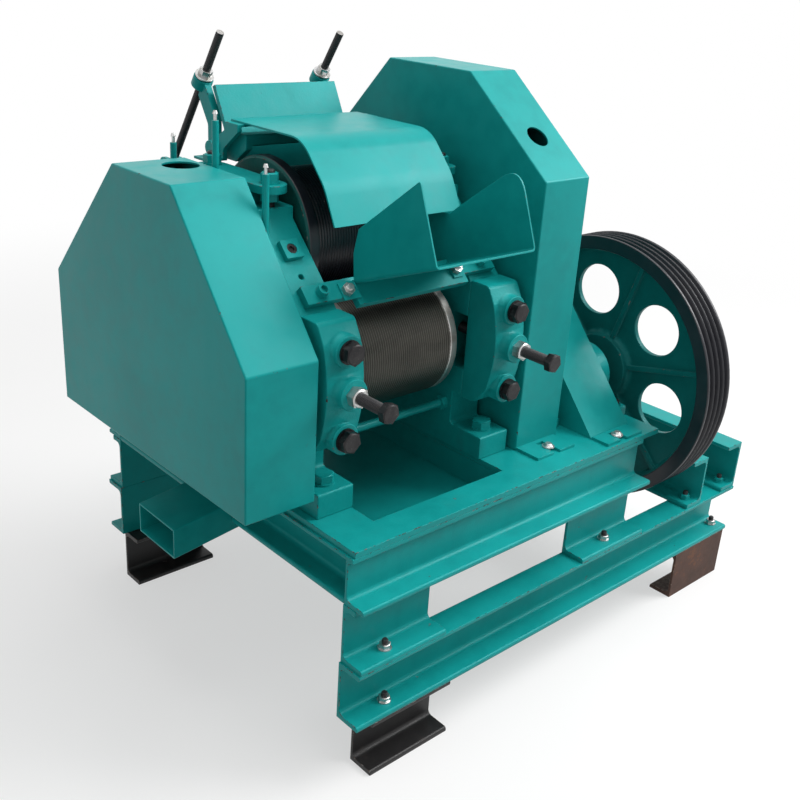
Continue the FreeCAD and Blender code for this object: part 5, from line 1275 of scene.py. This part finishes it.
@dataclass
class Feed:
    """Hopper, hood, cross plates and the discharge slide."""

    shop: Workshop
    front_foot: Spot = (0.0, 390.0)
    rear_foot: Spot = (168.0, 326.4)
    left_rear: tuple[Spot, ...] = ((163.0, 409.0), (172.0, 372.0))
    right_rear: tuple[Spot, ...] = ((160.0, 422.0), (178.0, 407.0), (230.0, 402.0),
                                    (206.0, 331.0), (173.0, 331.0))
    tops: tuple[Spot, ...] = ((44.0, 500.0), (45.0, 507.0))
    corners: tuple[float, float] = (5.0, 42.0)
    corner_steps: int = 8
    cheek_inset: float = 12.0 * MM     # of the cheeks from the ends of the CAD node's box
    bend: float = 7.0 * MM
    bend_steps: int = 5
    sheet: float = 3.0 * MM
    seat: Spot = (157.0, 297.0)        # foot of the side frames' front slope
    plate_thick: float = 12.7 * MM
    plate_reach: float = 45.0 * MM     # screws further up the slope hold the pads
    raised: float = 8.0 * MM
    wide_low: float = -4.0 * MM
    wide_ends: tuple[float, float] = (351.4, 335.0)
    end_slack: float = 2.0 * MM
    nut_moves: tuple[float, float] = (-17.0 * MM, 2.0 * MM)
    ear_along: tuple[float, float] = (6.0 * MM, 34.0 * MM)
    ears: tuple[tuple[float, float], ...] = ((88.0, 119.0), (307.0, 327.0))
    weld_along: tuple[float, float] = (20.0 * MM, 33.0 * MM)
    weld_radius: float = 1.8 * MM
    weld_out: float = 1.0 * MM
    sheet_width: float = 0.5 * MM
    bracket_width: float = 0.6 * MM
    plate_width: float = 0.9 * MM
    pad_from: float = 25.0 * MM        # widths that tell the fixings apart
    painted_range: tuple[float, float] = (17.0 * MM, 19.0 * MM)
    small_below: float = 16.6 * MM

    def build(self) -> None:
        """Make the feed's pieces."""
        self._hopper()
        self.shop.refined("hood", [SHEET_TEAL], self.sheet_width)
        self.shop.refined("hood_brackets", [ROLLED_TEAL], self.bracket_width)
        self.shop.refined("front_cross_plate", [ROLLED_TEAL], self.plate_width,
                          shape=self._plate())
        self.shop.refined("rear_chute", [ROLLED_TEAL], self.plate_width)
        self._fixings()
        self._welds()

    def _slope(self, x: float, along: float, proud: float) -> Vector:
        """Point on the front slope of the side frames.

        Args:
            x: place across the machine, in metres.
            along: distance up the slope, in metres.
            proud: distance off the slope, in metres.

        Returns:
            The point.
        """
        seat = self.shop.point(0.0, *self.seat)
        return Vector((x, seat.y + (along - proud) * HALF_ROOT,
                       seat.z + (along + proud) * HALF_ROOT))

    def _climb(self, point: Vector) -> float:
        """Distance of a point up the front slope, in metres."""
        seat = self.shop.point(0.0, *self.seat)
        return (point.y - seat.y + point.z - seat.z) * HALF_ROOT

    def _plate(self) -> Shaper:
        """Shape function of the cross plate: higher up the slope, its wide part shorter."""
        old_end, new_end = (self.shop.point(x, 0.0, 0.0).x for x in self.wide_ends)

        def shape(point: Vector, _low: Vector, _high: Vector) -> Vector:
            """New place of a corner."""
            climb = self._climb(point)
            step = (self.wide_low - climb if climb < 0 else self.raised) * HALF_ROOT
            moved = point + Vector((0.0, step, step))
            if abs(point.x - old_end) < self.end_slack:
                moved.x = new_end
            return moved

        return shape

    def _screws(self) -> Shaper:
        """Shape function of the front screws and studs, which sit on the cross plate."""
        low_x, high_x = (corner.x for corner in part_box("hopper"))
        machine_middle = middle_of("top_roller").y

        def shape(point: Vector, low: Vector, high: Vector) -> Vector:
            """New place of a corner, moved with its whole solid."""
            middle = (low + high) / 2
            if self._climb(middle) > self.plate_reach or middle.y > machine_middle:
                return point
            stud = low_x < middle.x < high_x
            step = (self.nut_moves[1] if stud else self.raised) * HALF_ROOT
            moved = point + Vector((0.0, step, step))
            if stud and middle.x < (low_x + high_x) / 2:
                moved.x += self.nut_moves[0]
            return moved

        return shape

    def _side(self, x: float, top: Spot, radius: float, rear: Sequence[Spot]) -> list[Vector]:
        """Outline of a cheek, from its front foot over the top to its rear foot.

        Args:
            x: place of the cheek, in metres.
            top: its top corner before rounding, back and up, in millimetres.
            radius: length of that corner's rounding, in millimetres.
            rear: corners of its rear edge, in millimetres.

        Returns:
            The outline's points.
        """
        front, peak, back = Vector(self.front_foot), Vector(top), Vector(rear[0])
        start = peak + (front - peak).normalized() * radius
        end = peak + (back - peak).normalized() * radius
        outline = [front]
        for step in range(self.corner_steps + 1):
            share = step / self.corner_steps
            outline.append(start.lerp(peak, share).lerp(peak.lerp(end, share), share))
        outline += list(rear) + [self.rear_foot]
        return [Vector((x, *self.shop.point(0.0, *spot).yz)) for spot in outline]

    def _hopper(self) -> None:
        """Hopper folded from one sheet, with the two ears that its studs hold down."""
        work = bmesh.new()
        left, right = ([work.verts.new(p) for p in self._side(x, *form)] for x, form in zip(
            self._cheeks(), zip(self.tops, self.corners, (self.left_rear, self.right_rear))))
        for side in (left, right):
            work.faces.new(side)
        floor = work.faces.new((left[0], left[-1], right[-1], right[0]))
        bmesh.ops.recalc_face_normals(work, faces=work.faces)
        floor.normal_update()
        if floor.normal.z > 0:
            bmesh.ops.reverse_faces(work, faces=work.faces)
        folds = [edge for edge in work.edges if len(edge.link_faces) == 2]
        bmesh.ops.bevel(work, geom=folds, offset=self.bend, offset_type="OFFSET",
                        segments=self.bend_steps, profile=0.5, affect="EDGES",
                        clamp_overlap=False)
        bmesh.ops.solidify(work, geom=work.faces[:], thickness=self.sheet)
        for ends in self.ears:
            self._ear(work, *(self.shop.point(x, 0.0, 0.0).x for x in ends))
        bmesh.ops.recalc_face_normals(work, faces=work.faces)
        self.shop.finished(work, "hopper", [SHEET_TEAL], self.sheet_width)

    def _cheeks(self) -> tuple[float, float]:
        """Places across the machine of the hopper's two cheeks, in metres."""
        low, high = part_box("hopper")
        return low.x + self.cheek_inset, high.x - self.cheek_inset

    def _ear(self, work: bmesh.types.BMesh, left: float, right: float) -> None:
        """Flat ear on the cross plate, added to the hopper's mesh between two places."""
        low, high = self.plate_thick, self.plate_thick + self.sheet
        start, end = self.ear_along
        ring = [[work.verts.new(self._slope(x, along, proud)) for along, proud in
                 ((start, low), (end, low), (end, high), (start, high))]
                for x in (left, right)]
        work.faces.new(ring[0])
        work.faces.new(ring[1][::-1])
        for near in range(4):
            far = (near + 1) % 4
            work.faces.new((ring[0][near], ring[1][near], ring[1][far], ring[0][far]))

    def _fixings(self) -> None:
        """Screws and pads of the cross plates, each in its own finish by its width."""
        def choice(face: Patch) -> int:
            """Finish number of the solid that a face belongs to."""
            width = face.width()
            if width > self.pad_from:
                return 0
            if self.painted_range[0] < width < self.painted_range[1]:
                return 1
            return 2 if width < self.small_below else 3

        self.shop.refined("cross_plate_fixings", [CAST_TEAL, BOLT_TEAL, BOLT_BLACK, ZINC],
                          self.sheet_width, choose=choice, shape=self._screws())

    def _welds(self) -> None:
        """Beads between the hopper's cheeks and its ears."""
        left, right = self._cheeks()
        lines = [tuple(self._slope(x, along, self.plate_thick + self.sheet)
                       for along in self.weld_along)
                 for x in (left - self.weld_out, right + self.weld_out)]
        self.shop.bead("hopper_welds", "hopper", lines, self.weld_radius, SHEET_TEAL)


@dataclass
class Scraper:
    """Yoke, plate, threaded rods and their nuts."""

    shop: Workshop
    thread: Thread = Thread(6.45 * MM, 2.2 * MM, 0.65 * MM)
    thread_back: float = 1.0 * MM      # the thread ends this far below the rod's end
    pin_most: float = 100.0 * MM       # a taller solid is a rod
    pin_gap: float = 16.0 * MM         # from a pin's middle to the thread
    top_ring: float = 9.0 * MM
    cut_end: float = 7.0 * MM
    bare_tip: float = 16.0 * MM
    yoke_width: float = 1.2 * MM
    plate_width: float = 0.6 * MM
    nut_width: float = 0.5 * MM
    rod_width: float = 0.4 * MM

    def build(self) -> None:
        """Make the scraper's pieces."""
        self.shop.refined("scraper_yoke", [CAST_TEAL], self.yoke_width)
        self.shop.refined("scraper_plate", [ROLLED_TEAL, BLADE_STEEL], self.plate_width,
                          choose=self._blade_choice())
        for node in ("left_rod_nut", "right_rod_nut"):
            self.shop.refined(node, [ZINC], self.nut_width)
        self._rods()

    def _blade_choice(self) -> Chooser:
        """Bare steel near the tip of the plate, paint above it."""
        paint_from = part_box("scraper_plate")[0].z + self.bare_tip

        def choice(face: Patch) -> int:
            """Number of the finish at a height."""
            return 1 if face.middle().z < paint_from else 0

        return choice

    def _rods(self) -> None:
        """The rods with their pins, and a thread along each."""
        bright_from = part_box("scraper_rods")[1].z - self.cut_end
        solids = islands("scraper_rods")
        rods = [s for s in solids if s.high().z - s.low().z > self.pin_most]
        pins = [s.middle() for s in solids if s.high().z - s.low().z <= self.pin_most]

        def choice(face: Patch) -> int:
            """Bright pins, black rods with a bright cut end."""
            if face.high.z - face.low.z < self.pin_most:
                return 1
            return 2 if face.middle().z > bright_from and face.normal.z > 0.7 else 0

        self.shop.refined("scraper_rods", [THREAD_BLACK, ZINC, LAND_STEEL], self.rod_width,
                          choose=choice)
        meshes = []
        for rod in rods:
            pin = min(pins, key=lambda p: abs(p.x - rod.middle().x)).copy()
            ring = [p for p in rod.points if p.z > rod.high().z - self.top_ring]
            top = sum(ring, Vector()) / len(ring)
            pin.x = top.x
            direction = (top - pin).normalized()
            start = pin + direction * self.pin_gap
            meshes.append(self.shop.bars(self.thread, [start], direction,
                                         (top - start).length - self.thread_back))
        self.shop.assembled(meshes, "rod_threads", "scraper_rods")


@dataclass
class Covers:
    """Folded sheet covers over the gears, with their bolts."""

    shop: Workshop
    fold: float = 2.4 * MM
    sheet_width: float = 0.5 * MM
    painted_to: float = 300.0          # millimetres across, between the left and right bolts

    def build(self) -> None:
        """Make the covers."""
        for node in ("left_gear_cover", "right_gear_cover", "lower_gear_cover"):
            self.shop.refined(node, [SHEET_TEAL], self.sheet_width, self.fold)
        bright_from = self.shop.point(self.painted_to, 0.0, 0.0).x

        def choice(face: Patch) -> int:
            """Bright dome-headed bolts; the left cover's bolts are painted."""
            return 0 if face.low.x > bright_from else 1

        self.shop.refined("cover_bolts", [ZINC, BOLT_TEAL], self.sheet_width, choose=choice)


@dataclass
class Drive:
    """Gears, shafts, their stands and the belt pulley."""

    shop: Workshop
    rim_from: float = 230.0 * MM
    insert_radius: float = 41.0 * MM
    insert_proud: float = 7.6 * MM     # of the bearing insert beyond its housing
    cast_width: float = 2.0 * MM
    shaft_width: float = 0.5 * MM

    def build(self) -> None:
        """Make the drive's pieces."""
        self.shop.painted(GEAR_IRON, "top_roller_gear", "front_roller_gear",
                          "rear_roller_gear", "bull_gear", "first_gear")
        self.shop.painted(SHAFT_STEEL, "intermediate_shaft")
        self.shop.refined("shaft_pedestal", [CAST_TEAL], self.cast_width)
        self.shop.refined("pulley_shaft", [SHAFT_STEEL], self.shaft_width)
        self._pillow_block()
        self._pulley()

    def _pillow_block(self) -> None:
        """Pillow block with a bare bearing insert."""
        insert_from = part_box("pillow_block")[1].x - self.insert_proud
        axis = middle_of("belt_pulley")

        def choice(face: Patch) -> int:
            """Insert beyond the housing's face is steel."""
            beyond = face.middle().x > insert_from
            return 1 if face.radius(axis) < self.insert_radius and beyond else 0

        self.shop.refined("pillow_block", [CAST_TEAL, SHAFT_STEEL], self.cast_width,
                          choose=choice)

    def _pulley(self) -> None:
        """Black rim, teal web and hub."""
        axis = middle_of("belt_pulley")

        def choice(face: Patch) -> int:
            """Black on the rim's outside and edges."""
            return 0 if face.radius(axis) > self.rim_from else 1

        self.shop.refined("belt_pulley", [RIM_BLACK, WEB_TEAL], self.cast_width,
                          choose=choice)


@dataclass
class Fasteners:
    """Hexagon heads, nuts and threads, grown on the bolts' own places."""

    shop: Workshop
    large_head: Hexagon = Hexagon(30.0 * MM, 13.0 * MM, 18.0 * MM, 3.0 * MM)
    middle_head: Hexagon = Hexagon(24.0 * MM, 10.0 * MM)
    small_head: Hexagon = Hexagon(17.0 * MM, 6.5 * MM)
    large_from: float = 32.0 * MM      # depths of the plate bolts' CAD heads
    middle_from: float = 22.0 * MM
    lock_nut: Hexagon = Hexagon(27.0 * MM, 15.0 * MM)
    skid_nut: Hexagon = Hexagon(17.0 * MM, 7.4 * MM, 11.0 * MM, 1.6 * MM)
    skid_head: Hexagon = Hexagon(17.0 * MM, 7.0 * MM)
    skid_thread: Thread = Thread(5.0 * MM, 1.5 * MM, 0.5 * MM)
    skid_proud: float = 7.0 * MM       # of a bolt's end beyond its nut
    rail_height: float = 150.0 * MM    # the rails' bolts reach above this
    keeper_nut: Hexagon = Hexagon(24.0 * MM, 13.0 * MM, 14.4 * MM, 3.0 * MM)
    under_nut: Hexagon = Hexagon(24.0 * MM, 13.0 * MM)
    keeper_thread: Thread = Thread(8.0 * MM, 2.0 * MM, 0.7 * MM)
    keeper_proud: float = 4.0 * MM
    screw_head: Hexagon = Hexagon(27.0 * MM, 12.0 * MM)
    screw_thread: Thread = Thread(9.0 * MM, 2.5 * MM, 0.9 * MM)
    screw_back: float = 11.0 * MM      # the bar ends inside its head

    def build(self) -> None:
        """Make all fasteners that are grown from node trees."""
        self._outward("cap_bolts", "cap_bolt_heads", self.large_head, BOLT_BLACK)
        self._outward("lock_nuts", "screw_lock_nuts", self.lock_nut, ZINC)
        self._skid()
        self._keeper()
        self._plate()
        for node in ("front_left_screw", "front_right_screw", "rear_left_screw",
                     "rear_right_screw"):
            self._adjuster(node)

    def _outward(self, node: str, name: str, size: Hexagon, finish: Finish) -> None:
        """Hexagons on the solids of the caps, pointing to the front and to the rear.

        Args:
            node: the CAD node they stand for.
            name: the new object's name.
            size: their sizes.
            finish: their finish.
        """
        middle = middle_of("top_roller").y
        meshes = []
        for way in (-1.0, 1.0):
            out = Vector((0.0, way, 0.0))
            seats = [s.end(out, size.reach()) for s in islands(node)
                     if (s.middle().y - middle) * way > 0]
            meshes.append(self.shop.hexes(size, seats, out, finish))
        self.shop.assembled(meshes, name, node, node)

    def _skid(self) -> None:
        """Nuts and bolt ends above the flanges, heads below them."""
        solids = islands("skid_bolts")
        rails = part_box("motor_rails")[0].x
        zinc = [s for s in solids if s.middle().x < rails or s.high().z < self.rail_height]
        painted = [s for s in solids if s not in zinc]
        nut, head = self.skid_nut, self.skid_head
        above = nut.reach() + self.skid_proud
        meshes = [self.shop.hexes(nut, [s.end(UP, above) for s in group], UP, finish)
                  for group, finish in ((zinc, ZINC), (painted, BOLT_TEAL))]
        meshes.append(self.shop.hexes(head, [s.end(DOWN, head.reach()) for s in solids],
                                      DOWN, ZINC))
        ends = self.shop.bars(self.skid_thread, [s.end(UP, above) for s in solids], UP, above)
        self.shop.assembled(meshes, "skid_nuts", "skid_bolts", "skid_bolts")
        self.shop.fasten(ends, "skid_bolt_ends", "skid_bolts")

    def _keeper(self) -> None:
        """Studs of the keeper bars with a nut above and one below."""
        solids = islands("keeper_studs")
        above = self.keeper_nut.reach() + self.keeper_proud
        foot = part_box("keeper_bars")[0].z - self.under_nut.reach()
        under = [Vector((s.middle().x, s.middle().y, foot)) for s in solids]
        length = max(s.high().z - s.low().z for s in solids)
        meshes = [
            self.shop.hexes(self.keeper_nut, [s.end(UP, above) for s in solids], UP, BOLT_TEAL),
            self.shop.hexes(self.under_nut, under, UP, BOLT_TEAL),
            self.shop.bars(self.keeper_thread, [s.end(UP, length) for s in solids], UP, length)]
        self.shop.assembled(meshes, "keeper_nuts", "keeper_studs", "keeper_studs")

    def _plate(self) -> None:
        """Bolts that stand on the plate: large ones on washers, small ones bare."""
        meshes = []
        for solid in islands("plate_bolts"):
            depth = solid.high().y - solid.low().y
            size, finish = self.small_head, BOLT_BLACK
            if depth > self.large_from:
                size, finish = self.large_head, BOLT_TEAL
            elif depth > self.middle_from:
                size = self.middle_head
            meshes.append(self.shop.hexes(size, [solid.end(UP, size.reach())], UP, finish))
        self.shop.assembled(meshes, "plate_bolt_heads", "plate_bolts", "plate_bolts")

    def _adjuster(self, node: str) -> None:
        """Adjusting screw: hexagon head on a threaded bar."""
        solid = islands(node)[0]
        out = Vector((0.0, -1.0 if node.startswith("front") else 1.0, 0.0))
        seat = solid.end(out, self.screw_head.reach())
        head = self.shop.hexes(self.screw_head, [seat], out, BOLT_BLACK)
        start = solid.end(out * -1)
        length = (solid.end(out) - start).length - self.screw_back
        bar = self.shop.bars(self.screw_thread, [start], out, length)
        self.shop.assembled([head, bar], node + "_dressed", node, node)


@dataclass
class Lubrication:
    """Grease pipes with bright nipples."""

    shop: Workshop
    nipple: float = 13.5 * MM
    pipe_width: float = 0.4 * MM

    def build(self) -> None:
        """Make the pipes."""
        def choice(face: Patch) -> int:
            """Bright above the pipe's end."""
            return 1 if face.middle().z > face.high.z - self.nipple else 0

        self.shop.refined("grease_pipes", [BOLT_TEAL, ZINC], self.pipe_width, choose=choice)


# ---- studio -------------------------------------------------------------------------------
@dataclass(frozen=True)
class Lamp:
    """A soft square lamp that faces the machine."""

    name: str
    direction: Colour
    distance: float
    size: float
    power: float
    colour: Colour = (1.0, 1.0, 1.0)

    def hang(self, aim: Vector) -> None:
        """Put the lamp up and turn it to a point."""
        data = bpy.data.lights.new(self.name, "AREA")
        data.shape = "SQUARE"
        data.size = self.size
        data.energy = self.power
        data.color = self.colour
        lamp = placed(self.name, data)
        towards = Vector(self.direction).normalized()
        lamp.location = aim + towards * self.distance
        lamp.rotation_euler = towards.to_track_quat("Z", "Y").to_euler()


@dataclass
class Studio:
    """Pale floor, soft light and the camera."""

    azimuth: float = -44.13
    elevation: float = 22.8
    roll: float = -4.09
    place: Colour = (-1.25015, -1.25281, 1.15731)
    lens: float = 46.44
    shift: tuple[float, float] = (-0.0174, -0.0092)
    far: float = 200.0
    ambient: float = 0.30
    floor_size: float = 60.0
    floor_near: float = 1.2
    floor_far: float = 3.2

    def build(self) -> None:
        """Set the studio up."""
        self._camera()
        self._floor()
        self._world()
        aim = Vector((0.0, 0.0, 0.5))
        Lamp("key", (0.64, -0.44, 0.62), 4.2, 2.2, 142.0).hang(aim)
        Lamp("top", (0.05, -0.16, 1.0), 4.0, 3.0, 84.0).hang(aim)
        Lamp("left", (-1.0, -0.30, 0.35), 4.5, 2.6, 14.0).hang(aim)

    def _camera(self) -> None:
        """Camera at its place, turned by azimuth, elevation and roll."""
        turn, rise, roll = (math.radians(a) for a in (self.azimuth, self.elevation, self.roll))
        back = Vector((math.sin(turn) * math.cos(rise), -math.cos(turn) * math.cos(rise),
                       math.sin(rise)))
        ahead = back * -1
        right = ahead.cross(UP).normalized()
        down = ahead.cross(right)
        across = right * math.cos(roll) + down * math.sin(roll)
        below = down * math.cos(roll) - right * math.sin(roll)
        data = bpy.data.cameras.new("camera")
        data.lens = self.lens
        data.sensor_width = SENSOR
        data.sensor_fit = "HORIZONTAL"
        data.shift_x, data.shift_y = self.shift
        data.clip_end = self.far
        camera = placed("camera", data)
        matrix = Matrix((across, below * -1, back)).transposed().to_4x4()
        matrix.translation = Vector(self.place)
        camera.matrix_world = matrix
        bpy.context.scene.camera = camera

    @staticmethod
    def _white_for_view(shade: Graph, base: Value, white: Value) -> Value:
        """Mix that shows white to the camera, to gloss and through glass."""
        path = [shade.node("ShaderNodeLightPath", output=name) for name in
                ("Is Camera Ray", "Is Glossy Ray", "Is Transmission Ray")]
        seen = path[0].most(path[1]).most(path[2])
        return shade.node("ShaderNodeMixShader", None, {0: seen, 1: base, 2: white})

    def _floor(self) -> None:
        """Pale floor that keeps the machine's shadow."""
        half = self.floor_size / 2
        mesh = bpy.data.meshes.new("floor")
        corners = [(-half, -half, 0), (half, -half, 0), (half, half, 0), (-half, half, 0)]
        mesh.from_pydata(corners, [], [(0, 1, 2, 3)])
        shade = Shade("floor_pale")
        grain = shade.noise(3.0, 3.0)
        colour = shade.mix(grain, (0.90, 0.90, 0.895), (0.94, 0.94, 0.935))
        matt = shade.node("ShaderNodeBsdfDiffuse", None, {"Color": colour})
        glow = shade.node("ShaderNodeEmission", None, {"Color": (1, 1, 1, 1), "Strength": 1.0})
        reach = shade.node("ShaderNodeVectorMath", {"operation": "LENGTH"},
                           {0: shade.place}, "Value")
        glowing = shade.band(reach, self.floor_near, self.floor_far) * 0.45 + 0.55
        mixed = shade.node("ShaderNodeMixShader", None, {0: glowing, 1: matt, 2: glow})
        dull = shade.node("ShaderNodeBsdfDiffuse", None, {"Color": (0.36, 0.36, 0.36, 1)})
        shade.node_output(self._white_for_view(shade, dull, mixed))
        mesh.materials.append(shade.material)
        floor = placed("floor", mesh)

    def _world(self) -> None:
        """Plain light all round; white where it is seen."""
        world = bpy.data.worlds.new("studio")
        world.use_nodes = True
        world.node_tree.nodes.clear()
        graph = Graph(world.node_tree)
        light = graph.node("ShaderNodeBackground", None,
                           {"Color": (1, 1, 1, 1), "Strength": self.ambient})
        white = graph.node("ShaderNodeBackground", None,
                           {"Color": (1, 1, 1, 1), "Strength": 1.0})
        output = graph.tree.nodes.new("ShaderNodeOutputWorld")
        mixed = self._white_for_view(graph, light, white)
        graph.tree.links.new(mixed.socket, output.inputs["Surface"])
        bpy.context.scene.world = world


def main() -> None:
    """Build the machine, then the studio."""
    logging.basicConfig(level=logging.INFO, format="%(name)s: %(message)s")
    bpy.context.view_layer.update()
    bpy.context.scene.view_settings.view_transform = "Standard"
    Studio().build()
    shop = Workshop()
    for assembly in (Skid, Deck, Housings, Rollers, Feed, Scraper, Covers, Drive, Fasteners,
                     Lubrication):
        assembly(shop).build()
        LOG.info("%s done", assembly.__name__)
    left = sorted(set(frame["nodes"]) - shop.done)
    if left:
        LOG.warning("no finish of their own: %s", left)


if __name__ == "__main__":
    main()
